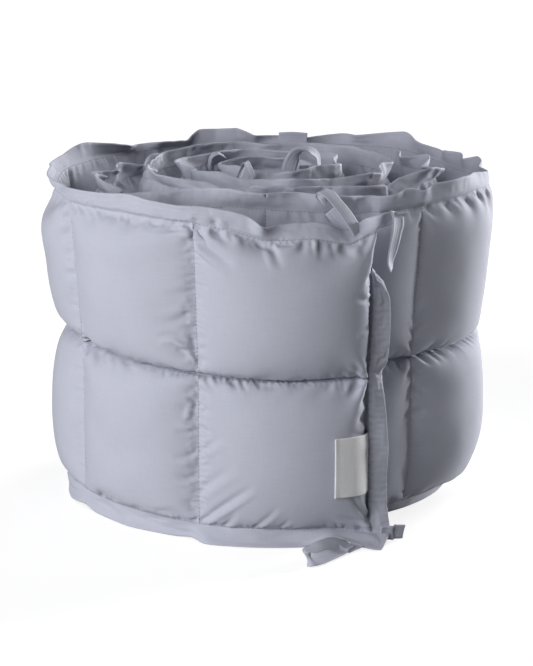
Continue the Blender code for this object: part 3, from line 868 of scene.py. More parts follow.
def pad_object(name, sh, X, cols, rows, mat):
    """The chosen columns and rows of both layers as one closed mesh, rounded at the flange's edge."""
    ni, nj = len(cols), len(rows)
    Y = X[:, :, cols][:, :, :, rows]
    P = [Y.reshape(3, -1).T]
    idx = np.arange(2 * ni * nj).reshape(2, ni, nj)
    faces = [grid_faces(idx[0]), grid_faces(idx[1], True)]
    g = np.stack(np.broadcast_arrays(sh.U[cols][:, None], sh.V[rows][None, :]), -1).reshape(-1, 2)
    uv = [g, g + [0, 0.4]]
    # ring round the rim: start side, top, end side, bottom
    ring = [(0, j) for j in range(nj)] + [(i, nj - 1) for i in range(1, ni)] \
        + [(ni - 1, j) for j in range(nj - 2, -1, -1)] + [(i, 0) for i in range(ni - 2, 0, -1)]
    ri, rj = np.array(ring).T
    mid = 0.5 * (Y[:, 0, ri, rj] + Y[:, 1, ri, rj])
    inner_i, inner_j = np.clip(ri, 1, ni - 2), np.clip(rj, 1, nj - 2)
    out = mid - 0.5 * (Y[:, 0, inner_i, inner_j] + Y[:, 1, inner_i, inner_j])
    out /= np.linalg.norm(out, axis=0) + 1e-12
    width = np.linalg.norm(Y[:, 0, ri, rj] - Y[:, 1, ri, rj], axis=0)
    open_side = np.ones(len(ri))
    if cols[0] != 0 or not sh.start:
        open_side[(ri == 0) & (rj > 0) & (rj < nj - 1)] = 0
    if cols[-1] != sh.ni - 1 or not sh.end:
        open_side[(ri == ni - 1) & (rj > 0) & (rj < nj - 1)] = 0
    P.append((mid + out * (0.45 * width * open_side)).T)
    uv.append(np.stack([sh.U[cols][ri], sh.V[rows][rj]], -1) + [0, 0.0])
    base = 2 * ni * nj
    nr = len(ring)
    o, n, m = idx[0][ri, rj], idx[1][ri, rj], base + np.arange(nr)
    o2, n2, m2 = np.roll(o, -1), np.roll(n, -1), np.roll(m, -1)
    faces.append(np.stack([o, m, m2, o2], -1))
    faces.append(np.stack([m, n, n2, m2], -1))
    P = np.vstack(P) + OFF
    obj = new_mesh(name, P, np.vstack(faces), np.vstack(uv), mat)
    cut = (np.abs(open_side) < 0.5)
    cut_v = set(o[cut]) | set(n[cut])
    sharp = obj.data.attributes.new("sharp_edge", "BOOLEAN", "EDGE")
    ev = np.empty(len(obj.data.edges) * 2, np.int32)
    obj.data.edges.foreach_get("vertices", ev)
    ev = ev.reshape(-1, 2)
    flag = np.isin(ev, list(cut_v)).all(1) & (np.abs(ev[:, 0] - ev[:, 1]) == 1)
    sharp.data.foreach_set("value", flag)
    import bmesh
    bm = bmesh.new()
    bm.from_mesh(obj.data)
    bad = [e for e in bm.edges if len(e.link_faces) != 2]
    vol = bm.calc_volume(signed=True)
    bm.free()
    print(name, len(obj.data.polygons) * 2, "tris, open edges", len(bad), "volume", round(vol * 1e6), "cm3")
    return obj


# ------------------------------------------------------------------ materials
def node(nt, kind, **values):
    n = nt.nodes.new(kind)
    for k, v in values.items():
        if k in n.inputs:
            n.inputs[k].default_value = v
        else:
            setattr(n, k, v)
    return n


def math_node(nt, op, a, b=None, c=None):
    n = nt.nodes.new("ShaderNodeMath")
    n.operation = op
    for i, v in enumerate((a, b, c)):
        if v is None:
            continue
        if isinstance(v, (int, float)):
            n.inputs[i].default_value = v
        else:
            nt.links.new(v, n.inputs[i])
    return n.outputs[0]


def stretched_noise(nt, uv, scale, detail=2.0, rough=0.5):
    m = nt.nodes.new("ShaderNodeMapping")
    m.inputs["Scale"].default_value = scale
    nt.links.new(uv, m.inputs["Vector"])
    n = node(nt, "ShaderNodeTexNoise", Scale=1.0, Detail=detail, Roughness=rough)
    nt.links.new(m.outputs[0], n.inputs["Vector"])
    return n.outputs["Fac"]


def tinted(nt, colour, fac, spread):
    """The colour, brighter or darker with a noise value about 0.5."""
    gain = math_node(nt, "MULTIPLY_ADD", fac, spread, 1.0 - spread / 2)
    mix = nt.nodes.new("ShaderNodeVectorMath")
    mix.operation = "SCALE"
    if isinstance(colour, tuple):
        mix.inputs[0].default_value = colour
    else:
        nt.links.new(colour, mix.inputs[0])
    nt.links.new(gain, mix.inputs["Scale"])
    return mix.outputs[0]


def cloth_material(name, colour, thread=0.00034, ribs=0.0, slub=0.15, sheen=0.12, bump=0.35, seams=True):
    mat = bpy.data.materials.new(name)
    mat.use_nodes = True
    nt = mat.node_tree
    bsdf = nt.nodes["Principled BSDF"]
    uvn = nt.nodes.new("ShaderNodeUVMap")
    uvn.uv_map = "flat"
    uv = uvn.outputs[0]
    sep = nt.nodes.new("ShaderNodeSeparateXYZ")
    nt.links.new(uv, sep.inputs[0])
    u, v = sep.outputs[0], sep.outputs[1]
    streak = stretched_noise(nt, uv, (55.0, 1500.0, 1.0), 2.0)
    streak2 = stretched_noise(nt, uv, (900.0, 60.0, 1.0), 1.0)
    mottle = stretched_noise(nt, uv, (26.0, 34.0, 1.0), 3.0)
    c = tinted(nt, colour, streak, slub)
    c = tinted(nt, c, streak2, slub * 0.5)
    c = tinted(nt, c, mottle, 0.07)
    nt.links.new(c, bsdf.inputs["Base Color"])
    # the weave: one thread over, one under
    k = math.pi / thread
    warp = math_node(nt, "SINE", math_node(nt, "MULTIPLY", u, k))
    weft = math_node(nt, "SINE", math_node(nt, "MULTIPLY", v, k))
    weave = math_node(nt, "MULTIPLY", warp, weft)
    crumple = stretched_noise(nt, uv, (150.0, 210.0, 1.0), 3.0, 0.55)
    h = math_node(nt, "MULTIPLY", weave, 0.00003)
    h = math_node(nt, "MULTIPLY_ADD", streak, 0.00010, h)
    h = math_node(nt, "MULTIPLY_ADD", streak2, 0.00004, h)
    h = math_node(nt, "MULTIPLY_ADD", crumple, 0.00030, h)
    if ribs:
        rib = math_node(nt, "ABSOLUTE", math_node(nt, "SINE", math_node(nt, "MULTIPLY", v, math.pi / ribs)))
        h = math_node(nt, "MULTIPLY_ADD", rib, 0.0005, h)
    if seams:
        # tiny gathers that run square to each seam, one to a stitch
        for axis, attr in ((u, "by_row_seam"), (v, "by_column_seam")):
            at = nt.nodes.new("ShaderNodeAttribute")
            at.attribute_name = attr
            jog = math_node(nt, "MULTIPLY_ADD", stretched_noise(nt, uv, (120.0, 120.0, 1.0), 1.0), 5.0, math_node(nt, "MULTIPLY", axis, math.pi / 0.0034))
            pleat = math_node(nt, "ABSOLUTE", math_node(nt, "SINE", jog))
            pleat = math_node(nt, "MULTIPLY", pleat, at.outputs["Fac"])
            pleat = math_node(nt, "MULTIPLY", pleat, stretched_noise(nt, uv, (34.0, 34.0, 1.0), 1.0))
            h = math_node(nt, "MULTIPLY_ADD", pleat, 0.0007 if axis is v else 0.0004, h)
    b = node(nt, "ShaderNodeBump", Strength=bump, Distance=1.0)
    nt.links.new(h, b.inputs["Height"])
    nt.links.new(b.outputs[0], bsdf.inputs["Normal"])
    rough = math_node(nt, "MULTIPLY_ADD", streak, 0.12, 0.78)
    nt.links.new(rough, bsdf.inputs["Roughness"])
    bsdf.inputs["Specular IOR Level"].default_value = 0.25
    bsdf.inputs["Sheen Weight"].default_value = sheen
    bsdf.inputs["Sheen Roughness"].default_value = 0.35
    return mat


COTTON = cloth_material("cotton_blue_grey", (0.400, 0.412, 0.484), seams=True)
TAPE = cloth_material("tie_cotton", (0.395, 0.408, 0.480), ribs=0.0029, slub=0.08, seams=False, bump=0.28)
THREAD = cloth_material("sewing_thread", (0.235, 0.245, 0.300), slub=0.05, seams=False, bump=0.1)
LABEL = cloth_material("label_weave", (0.79, 0.79, 0.80), thread=0.00052, slub=0.12, seams=False, bump=0.9, sheen=0.05)


# ------------------------------------------------------------------ quilted pad
def seam_attributes(obj, U, V, sh):
    dv = np.minimum.reduce([np.abs(V - sh.V[j]) for j in (sh.j_low, sh.j_mid, sh.j_top)])
    du = np.min(np.abs(U[:, None] - sh.U[sh.seam_col][None, :]), axis=1)
    for name, d in (("by_row_seam", dv), ("by_column_seam", du)):
        a = obj.data.attributes.new(name, "FLOAT", "POINT")
        a.data.foreach_set("value", np.exp(-(d / 0.0042) ** 2).astype(F32))


def doubled(a, axis):
    """Twice as fine along one axis, on a smooth curve through the old points."""
    a = np.moveaxis(np.asarray(a, np.float64), axis, 0)
    ext = np.concatenate([2 * a[:1] - a[1:2], a, 2 * a[-1:] - a[-2:-1]])
    out = np.empty((2 * len(a) - 1,) + a.shape[1:])
    out[0::2] = a
    out[1::2] = (-ext[:-3] + 9 * ext[1:-2] + 9 * ext[2:-1] - ext[3:]) / 16
    return np.moveaxis(out, 0, axis)


def along_line(rows, n=24):
    """Points on a smooth curve through a few places."""
    rows = np.asarray(rows, float)
    ext = np.vstack([2 * rows[0] - rows[1], rows, 2 * rows[-1] - rows[-2]])
    x = np.linspace(0, len(rows) - 1, n)
    i = np.minimum(x.astype(int), len(rows) - 2)
    f = (x - i)[:, None]
    p0, p1, p2, p3 = ext[i], ext[i + 1], ext[i + 2], ext[i + 3]
    return 0.5 * (2 * p1 + (p2 - p0) * f + (2 * p0 - 5 * p1 + 4 * p2 - p3) * f ** 2 + (3 * p1 - p0 - 3 * p2 + p3) * f ** 3)


def lumps(x, seed, pitch):
    """Uneven lumps between -1 and 1 along a seam, one to a stitch or so."""
    return 2 * wavy(x - x.min(), seed, pitch) - 1


def fold_field(U, V, sh, M):
    """How far the outer layer stands out or in: folds, and small gathers along the stitches."""
    u, v = U[:, None], V[None, :]
    out = np.zeros((len(U), len(V)))
    for depth, width, lip, places in FOLDS:
        pts = []
        for p_phi, p_z in places:
            i = int(np.argmin(np.abs(sh.phi - p_phi)))
            pts.append((np.interp(p_phi, sh.phi, sh.U), sh.V[int(np.argmin(np.abs(M[2, 0, i] - p_z)))]))
        line = along_line(pts)
        run = np.r_[0, np.cumsum(np.hypot(*np.diff(line, axis=0).T))]
        near = np.full(out.shape, 1e9)
        side, at = np.zeros(out.shape), np.zeros(out.shape)
        box = (u > line[:, 0].min() - 4 * width) & (u < line[:, 0].max() + 4 * width) \
            & (v > line[:, 1].min() - 4 * width) & (v < line[:, 1].max() + 4 * width)
        iu, iv = np.nonzero(box)
        if not len(iu):
            continue
        pu, pv = U[iu], V[iv]
        best = np.full(len(iu), 1e9); sgn = np.zeros(len(iu)); where = np.zeros(len(iu))
        for k in range(len(line) - 1):
            a, b = line[k], line[k + 1]
            d = b - a
            L = np.hypot(*d) + 1e-12
            f = np.clip(((pu - a[0]) * d[0] + (pv - a[1]) * d[1]) / L ** 2, 0, 1)
            dist = np.hypot(pu - a[0] - f * d[0], pv - a[1] - f * d[1])
            cross = (d[0] * (pv - a[1]) - d[1] * (pu - a[0])) / L
            hit = dist < best
            best[hit], sgn[hit], where[hit] = dist[hit], np.sign(cross[hit]), (run[k] + f[hit] * L) / run[-1]
        fade = (1 - where ** 2) * np.minimum(1.0, 0.45 + where / 0.12) * np.exp(-(np.maximum(best - 3 * width, 0) / width) ** 2)
        w = width * (1 + 0.6 * where)
        s = best * sgn / w
        out[iu, iv] += depth * fade * (-np.exp(-s * s) + 0.55 * np.exp(-((s - 1.9 * lip) / 1.25) ** 2))
    out *= np.where(V < sh.V[sh.j_low], 0.2, 1.0)[None, :]
    seams = sh.U[sh.seam_col]
    du = np.min(np.abs(U[:, None] - seams[None, :]), axis=1)[:, None]
    rows = [sh.V[j] for j in (sh.j_low, sh.j_mid, sh.j_top)]
    beside = np.exp(-du / 0.0060) * (0.35 + 0.9 * wavy(V, 51, 0.022)[None, :])
    beside = beside * (U > sh.U[sh.nf] - 0.0005)[:, None] * ((V > sh.V[sh.j_low]) & (V < sh.V[sh.j_top]))[None, :]
    out += 0.00036 * beside * (0.6 * lumps(V, 52, 0.0036) + 0.7 * lumps(V, 53, 0.0075))[None, :]
    for n, r in enumerate(rows):
        dv = np.abs(v - r)
        reach = 0.0065 if n != 1 else 0.0035
        on_flange = (v < r) if n == 0 else (v > r) if n == 2 else (v < 0)
        share = (0.1 + 1.1 * wavy(U, 60 + n, 0.030)[:, None] ** 2) * (0.10 if n == 1 else 1.0) * np.where(on_flange, 0.2, 1.0)
        out += 0.00034 * np.exp(-dv / reach) * share * (0.5 * lumps(U, 70 + n, 0.0045) + 0.9 * lumps(U, 80 + n, 0.0100))[:, None]
    return out


class Patch:
    """A finer copy of some of the boxes, which carries their small folds."""

    def __init__(self, sh, M, i0, i1):
        lo, hi = max(i0 - 4, 0), i1 + 5
        big = doubled(doubled(M[:, :, lo:hi], 2), 3)
        U, V = doubled(sh.U[lo:hi], 0), doubled(sh.V, 0)
        tied = doubled(sh.tied[lo:hi].astype(float), 0)
        tied = doubled(tied, 1) > 0.75
        field = fold_field(U, V, sh, M)
        hold = 1 - np.exp(-(np.min(np.abs(U[:, None] - sh.U[sh.seam_col][None, :]), axis=1) / 0.0016) ** 2)[:, None] \
            * ((V > sh.V[sh.j_low]) & (V < sh.V[sh.j_top]))[None, :]
        for j in (sh.j_low, sh.j_mid, sh.j_top):
            hold = hold * (1 - np.exp(-((V - sh.V[j]) / 0.0016) ** 2)[None, :])
        field = field * hold
        edge = np.clip((U - sh.U[0]) / 0.003, 0, 1)[:, None]
        # the stitches draw the cloth in tightly along the middle seam and beside the end flange
        groove = 0.0030 * np.exp(-((V - sh.V[sh.j_mid]) / 0.0012) ** 2)[None, :] * smooth01((U[:, None] - sh.U[sh.nf] + 0.002) / 0.004)
        if i0 == 0:
            groove = np.maximum(groove, 0.0030 * np.exp(-((U - sh.U[sh.nf]) / 0.0011) ** 2)[:, None]
                                * (smooth01((V - 0.022) / 0.01) * smooth01((sh.V[sh.j_top] - 0.004 - V) / 0.01))[None, :])
        for layer in (0, 1):
            n = normals(big[:, layer])
            big[:, layer] += n * field * (1.0 if layer == 0 else tied) * edge
        n = normals(0.5 * (big[:, 0] + big[:, 1]))
        for layer in (0, 1):
            big[:, layer] -= n * groove
        big[2] = np.maximum(big[2], 0.0005)
        a, b = 2 * (i0 - lo), 2 * (i1 - lo)
        self.X, self.U, self.V = big[:, :, a:b + 1], U[a:b + 1], V
        self.ni, self.nj = self.X.shape[2:]
        self.start, self.end = sh.start and i0 == 0, False


def cloth_noise(U, V, pitch, seed):
    """Uneven cloth between -1 and 1, in patches about as large as the pitch."""
    rng = np.random.default_rng(seed)
    x, y = U / pitch, V / pitch
    a, b = x.astype(int), y.astype(int)
    g = rng.uniform(-1, 1, (a.max() + 2, b.max() + 2))
    fx, fy = smooth01(x - a)[:, None], smooth01(y - b)[None, :]
    return g[a][:, b] * (1 - fx) * (1 - fy) + g[a + 1][:, b] * fx * (1 - fy) \
        + g[a][:, b + 1] * (1 - fx) * fy + g[a + 1][:, b + 1] * fx * fy


def crumple(sh, X):
    """Small creases, most of them in the upper flange and in the inner turns."""
    f = 0.0008 * (1 - 2 * np.abs(cloth_noise(sh.U, sh.V, 0.0150, 91))) + 0.0005 * (1 - 2 * np.abs(cloth_noise(sh.U, sh.V, 0.0075, 92)))
    inside = smooth01((sh.phi - 325.0) / 20.0)[:, None]
    flange = np.where(sh.part == 3, smooth01(sh.t / 0.4), 0.0)[None, :]
    upper = np.where(sh.part == 2, smooth01(4 * sh.t * (1 - sh.t)), 0.0)[None, :]
    f = f * (flange * (0.4 + 0.6 * inside) + 0.5 * upper * inside)
    return X + normals(0.5 * (X[:, 0] + X[:, 1]))[:, None] * f


M = layered(base_sheet, crumple(base_sheet, base_X))
sh = base_sheet
sunk = 0.0026 * smooth01((sh.phi + 22.0) / 4.0) * smooth01((345.0 - sh.phi) / 10.0)
sunk *= sh.phi > 61.4
M[:, :, :, sh.j_mid] -= normals(0.5 * (M[:, 0] + M[:, 1]))[:, None, :, sh.j_mid] * sunk[None, None, :]
rows = np.arange(sh.nj)
nf, nu = sh.nf, sh.nu
OUTER_BOXES = 9
c0a, c0b, c1, c2 = nf + nu, nf + 2 * nu, nf + nu * 5, nf + nu * OUTER_BOXES
thin = [j for j in rows if sh.V[j] > FLANGE + 1.55 * FLAT_ROW or (j - sh.j_low) % 8 == 0 or j == 0]
parts = [("quilt_outer_left", sh, M, np.arange(c0b, c1 + 1), rows),
         ("quilt_outer_back", sh, M, np.arange(c1, c2 + 1), rows),
         ("quilt_inner", sh, M, np.arange(c2, sh.ni), np.array(thin))]
for name, i0, i1 in (("quilt_front_end", 0, c0a), ("quilt_front_second", c0a, c0b)):
    patch = Patch(sh, M, i0, i1)
    parts.append((name, patch, patch.X, np.arange(patch.ni), np.arange(patch.nj)))
for name, grid, X_, cols, rr in parts:
    p = pad_object(name, grid, X_, cols, rr, COTTON)
    uvs = np.empty(len(p.data.loops) * 2, F32)
    p.data.uv_layers[0].data.foreach_get("uv", uvs)
    vi = np.empty(len(p.data.loops), np.int32)
    p.data.loops.foreach_get("vertex_index", vi)
    per_vert = np.zeros((len(p.data.vertices), 2))
    per_vert[vi] = uvs.reshape(-1, 2)
    V_ = np.where(per_vert[:, 1] > 0.36, per_vert[:, 1] - 0.4, per_vert[:, 1])
    seam_attributes(p, per_vert[:, 0], V_, sh)
    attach(p, "root")
    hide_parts("quilted_pad")
print("meshes", round(time.time() - T0, 1))


# ------------------------------------------------------------------ stitches
def capsules(name, places, dirs, normals_, length, radius, mat):
    """Short thread dashes, a little sunk in the cloth."""
    places, dirs, ns = (np.asarray(a, float) for a in (places, dirs, normals_))
    dirs /= np.linalg.norm(dirs, axis=1)[:, None]
    ns -= dirs * (ns * dirs).sum(1)[:, None]
    ns /= np.linalg.norm(ns, axis=1)[:, None]
    bs = np.cross(dirs, ns)
    rings = [(-0.5, 0.35), (-0.32, 0.95), (0.0, 1.05), (0.32, 0.95), (0.5, 0.35)]
    k = 4
    V, F = [], []
    n = len(places)
    for s, w in rings:
        for q in range(k):
            a = 2 * math.pi * q / k
            V.append(places + dirs * (s * length) + (ns * math.cos(a) * 0.8 + bs * math.sin(a)) * (w * radius)
                     - ns * (abs(s) ** 2 * radius * 2.4))
    m = len(rings) * k
    V = np.stack(V, 1)                       # n, m, 3
    for r in range(len(rings) - 1):
        for q in range(k):
            q2 = (q + 1) % k
            F.append((r * k + q, r * k + q2, (r + 1) * k + q2, (r + 1) * k + q))
    F.append((0, 1, 2, 3))
    e = (len(rings) - 1) * k
    F.append((e + 3, e + 2, e + 1, e))
    F = np.array(F)[:, ::-1]
    faces = (F[None] + (np.arange(n) * m)[:, None, None]).reshape(-1, 4)
    P = V.reshape(-1, 3) + OFF
    uv = np.stack([np.tile(np.repeat([s for s, w in rings], k) * length, n), np.tile(np.arange(m) % k * 0.0003, n)], -1)
    return new_mesh(name, P, faces, uv, mat)


def along(P, spacing, start=0.0):
    """Parameters along a polyline (3, n) at even spacing."""
    d = np.r_[0, np.cumsum(np.linalg.norm(np.diff(P, axis=1), axis=0))]
    s = np.arange(start, d[-1], spacing)
    return np.interp(s, d, np.arange(P.shape[1]))


def lerp(P, x):
    a = np.minimum(x.astype(int), P.shape[1] - 2)
    return P[:, a] * (1 - (x - a)) + P[:, a + 1] * (x - a)


def seam_dashes(lines, rng, spacing=0.0033):
    places, dirs, ns = [], [], []
    for P, N in lines:
        x = along(P, spacing, 0.001)
        if len(x) < 3:
            continue
        p, nn = lerp(P, x), lerp(N, x)
        d = lerp(P, np.minimum(x + 0.4, P.shape[1] - 1.001)) - lerp(P, np.maximum(x - 0.4, 0))
        d += rng.normal(0, 0.05, d.shape) * np.linalg.norm(d, axis=0)
        places.append((p + nn * 0.00012).T); dirs.append(d.T); ns.append(nn.T)
    return np.vstack(places), np.vstack(dirs), np.vstack(ns)


mid = 0.5 * (M[:, 0] + M[:, 1])
N = normals(mid)
rng = np.random.default_rng(9)
lines = []
jl, jm, jt = sh.j_low, sh.j_mid, sh.j_top
i_end = c2
for j in (jl, jt):
    lines.append((M[:, 0, nf:i_end, j], N[:, nf:i_end, j]))
lines.append((M[:, 0, nf:i_end, jm], N[:, nf:i_end, jm]))
for i in np.nonzero(sh.seam_col)[0]:
    if i <= i_end:
        lines.append((M[:, 0, i, jl:jt + 1], N[:, i, jl:jt + 1]))
p, d, n_ = seam_dashes(lines, rng)
dashes = capsules("stitches_outside", p, d, n_, 0.0024, 0.00026, THREAD)
lines = [(M[:, 1, nf:, jt], -N[:, nf:, jt]), (M[:, 0, i_end:, jt], N[:, i_end:, jt])]
p, d, n_ = seam_dashes(lines, rng)
dashes2 = capsules("stitches_inside", p, d, n_, 0.0024, 0.00026, THREAD)
for q in (dashes, dashes2):
    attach(q, "root")
    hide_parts("quilted_pad")
    print(q.name, len(q.data.polygons) * 2)


# ------------------------------------------------------------------ ties
TIE_WIDTH = 0.0130
TIE_THICK = 0.0010

# Each tie's middle line in the roll's own frame: where its width points to (turn about
# upright, 0 = along +X, 90 = along +Y) and how far that is tipped from level.
TIES = {
    "tie_top_corner_inside": np.array([
        (0.0680, -0.1860, 0.2640,   62,   25),
        (0.0610, -0.1845, 0.2745,   62,   25),
        (0.0540, -0.1820, 0.2845,   60,   22),
        (0.0470, -0.1785, 0.2925,   58,   15),
        (0.0410, -0.1745, 0.2960,   55,    5),
        (0.0375, -0.1710, 0.2940,   55,    5),
        (0.0385, -0.1690, 0.2890,   60,   10),
        (0.0420, -0.1690, 0.2840,   60,   20),
    ]),
    "tie_top_corner_end": np.array([
        (0.0600, -0.1800, 0.2650,    5,   40),
        (0.0550, -0.1795, 0.2710,    5,   40),
        (0.0500, -0.1790, 0.2770,    5,   40),
        (0.0462, -0.1785, 0.2815,    5,   40),
    ]),
    "tie_top_corner_outside": np.array([
        (0.0985, -0.1790, 0.2790,   60,   10),
        (0.1000, -0.1850, 0.2730,   55,    5),
        (0.0990, -0.1900, 0.2660,   52,    0),
        (0.0970, -0.1920, 0.2570,   50,    0),
        (0.0955, -0.1920, 0.2480,   55,    0),
        (0.0945, -0.1920, 0.2410,   68,    0),
        (0.0950, -0.1920, 0.2340,   84,    0),
    ]),
    "tie_floor_loop": np.array([
        (0.0630, -0.1980, 0.0042,  150,   12),
        (0.0560, -0.2030, 0.0056,  150,   38),
        (0.0480, -0.2095, 0.0070,  145,   56),
        (0.0400, -0.2180, 0.0072,  145,   64),
        (0.0322, -0.2290, 0.0076,  152,   71),
        (0.0274, -0.2370, 0.0076,  170,   68),
        (0.0264, -0.2412, 0.0072,  176,   62),
        (0.0300, -0.2430, 0.0060,  162,   48),
        (0.0358, -0.2380, 0.0045,  144,   32),
        (0.0425, -0.2292, 0.0034,  130,   20),
        (0.0500, -0.2185, 0.0024,  124,   10),
        (0.0555, -0.2112, 0.0032,  122,   10),
        (0.0572, -0.2090, 0.0052,  122,   14),
        (0.0588, -0.2072, 0.0020,  122,    5),
        (0.0650, -0.2000, 0.0016,  125,    3),
        (0.0715, -0.1925, 0.0022,  125,    3),
    ]),
    "tie_floor_end": np.array([
        (0.0890, -0.1835, 0.0080,   85,  100),
        (0.0940, -0.1815, 0.0080,   85,  102),
        (0.0992, -0.1800, 0.0076,   85,  104),
        (0.1004, -0.1772, 0.0076,   88,  100),
        (0.1035, -0.1762, 0.0075,   88,  102),
        (0.1085, -0.1740, 0.0070,   88,  104),
    ]),
    "tie_centre_arch": np.array([
        (0.0130, -0.0370, 0.2790,   10,    0),
        (0.0140, -0.0370, 0.2910,   10,    0),
        (0.0190, -0.0355, 0.3010,   30,    0),
        (0.0280, -0.0300, 0.3040,   60,    0),
        (0.0370, -0.0240, 0.2990,   70,    0),
        (0.0400, -0.0210, 0.2890,   75,    0),
        (0.0400, -0.0200, 0.2800,   75,    0),
    ]),
    "tie_centre_point": np.array([
        (-0.0300, -0.0590, 0.2830,   70,    0),
        (-0.0275, -0.0600, 0.2930,   70,    0),
        (-0.0240, -0.0605, 0.3000,   70,    0),
        (-0.0205, -0.0620, 0.2930,   70,    0),
        (-0.0180, -0.0625, 0.2840,   70,    0),
    ]),
    "tie_back_curl": np.array([
        (-0.0580, 0.0240, 0.2800,  100,    0),
        (-0.0550, 0.0230, 0.2890,  100,    0),
        (-0.0490, 0.0220, 0.2930,  100,    0),
        (-0.0430, 0.0230, 0.2900,  100,    0),
    ]),
    "tie_back_end": np.array([
        (0.0060, 0.1580, 0.2830,   20,   80),
        (0.0190, 0.1570, 0.2840,   20,   80),
        (0.0320, 0.1560, 0.2830,   20,   80),
    ]),
}


def spline(rows, step=0.0009):
    """Catmull-Rom through the rows of a table, at about even steps."""
    ext = np.vstack([2 * rows[0] - rows[1], rows, 2 * rows[-1] - rows[-2]])
    t = np.linspace(0, len(rows) - 1, 40 * (len(rows) - 1) + 1)
    i = np.minimum(t.astype(int), len(rows) - 2)
    f = (t - i)[:, None]
    p0, p1, p2, p3 = ext[i], ext[i + 1], ext[i + 2], ext[i + 3]
    out = 0.5 * (2 * p1 + (p2 - p0) * f + (2 * p0 - 5 * p1 + 4 * p2 - p3) * f ** 2 + (3 * p1 - p0 - 3 * p2 + p3) * f ** 3)
    run = np.r_[0, np.cumsum(np.linalg.norm(np.diff(out[:, :3], axis=0), axis=1))]
    s = np.linspace(0, run[-1], max(int(run[-1] / step), 6) + 1)
    return np.stack([np.interp(s, run, out[:, c]) for c in range(out.shape[1])], 1), s


def ribbon(name, rows, mat, width=TIE_WIDTH, thick=TIE_THICK, across=12, seed=0):
    """A flat folded strip along a line, its long edges a little thicker, its ends cut."""
    line, s = spline(rows)
    P = line[:, :3]
    turn, tilt = np.radians(line[:, 3]), np.radians(line[:, 4])
    W = np.stack([np.cos(turn) * np.cos(tilt), np.sin(turn) * np.cos(tilt), np.sin(tilt)], 1)
    Tn = np.gradient(P, axis=0)
    Tn /= np.linalg.norm(Tn, axis=1)[:, None]
    W -= Tn * (W * Tn).sum(1)[:, None]
    W /= np.linalg.norm(W, axis=1)[:, None]
    Nn = np.cross(Tn, W)
    x = np.linspace(-1, 1, across + 1)
    edge = np.clip((np.abs(x) - 0.80) / 0.2, 0, 1)
    half = thick * (0.38 + 0.20 * np.sin(np.pi * np.clip((np.abs(x) - 0.62) / 0.36, 0, 1)))
    half *= np.sqrt(np.clip(1 - edge ** 3, 0.12, 1))
    rng = np.random.default_rng(seed)
    bow = 0.0004 * np.sin(s / 0.011 + rng.uniform(0, 6)) + 0.0003 * np.sin(s / 0.0047 + rng.uniform(0, 6))
    n, m = len(s), across + 1
    cup = (x ** 2 - 0.4) * 0.0006
    wob = 1 + 0.03 * np.sin(s / 0.006 + rng.uniform(0, 6))
    C = P[:, None] + W[:, None] * (x[None, :, None] * width / 2 * wob[:, None, None]) + Nn[:, None] * (cup[None, :] + bow[:, None])[..., None]
    up = C + Nn[:, None] * half[None, :, None]
    dn = C - Nn[:, None] * half[None, :, None]
    V = np.concatenate([up, dn[:, ::-1]], 1).reshape(-1, 3)
    k = 2 * m
    i, q = np.meshgrid(np.arange(n - 1), np.arange(k), indexing="ij")
    q2 = (q + 1) % k
    faces = np.stack([i * k + q, i * k + q2, (i + 1) * k + q2, (i + 1) * k + q], -1).reshape(-1, 4)
    caps = [(q, k - 1 - q, k - 2 - q, q + 1) for q in range(m - 1)]
    caps = np.array(caps)
    faces = np.vstack([faces, caps, (caps + (n - 1) * k)[:, ::-1]])[:, ::-1]
    acr = np.r_[x, x[::-1]] * width / 2
    uv = np.stack([np.repeat(s, k), np.tile(acr + 0.02 * (np.arange(k) >= m), n)], 1)
    obj = new_mesh(name, V + OFF, faces, uv, mat)
    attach(obj, "root")
    return obj, float(s[-1])


for count, (name, rows_) in enumerate(TIES.items()):
    obj, length = ribbon(name + "_cloth", rows_.astype(float), TAPE, seed=count)
    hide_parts(name)
    print(name, "length", round(length, 4), len(obj.data.polygons) * 2)


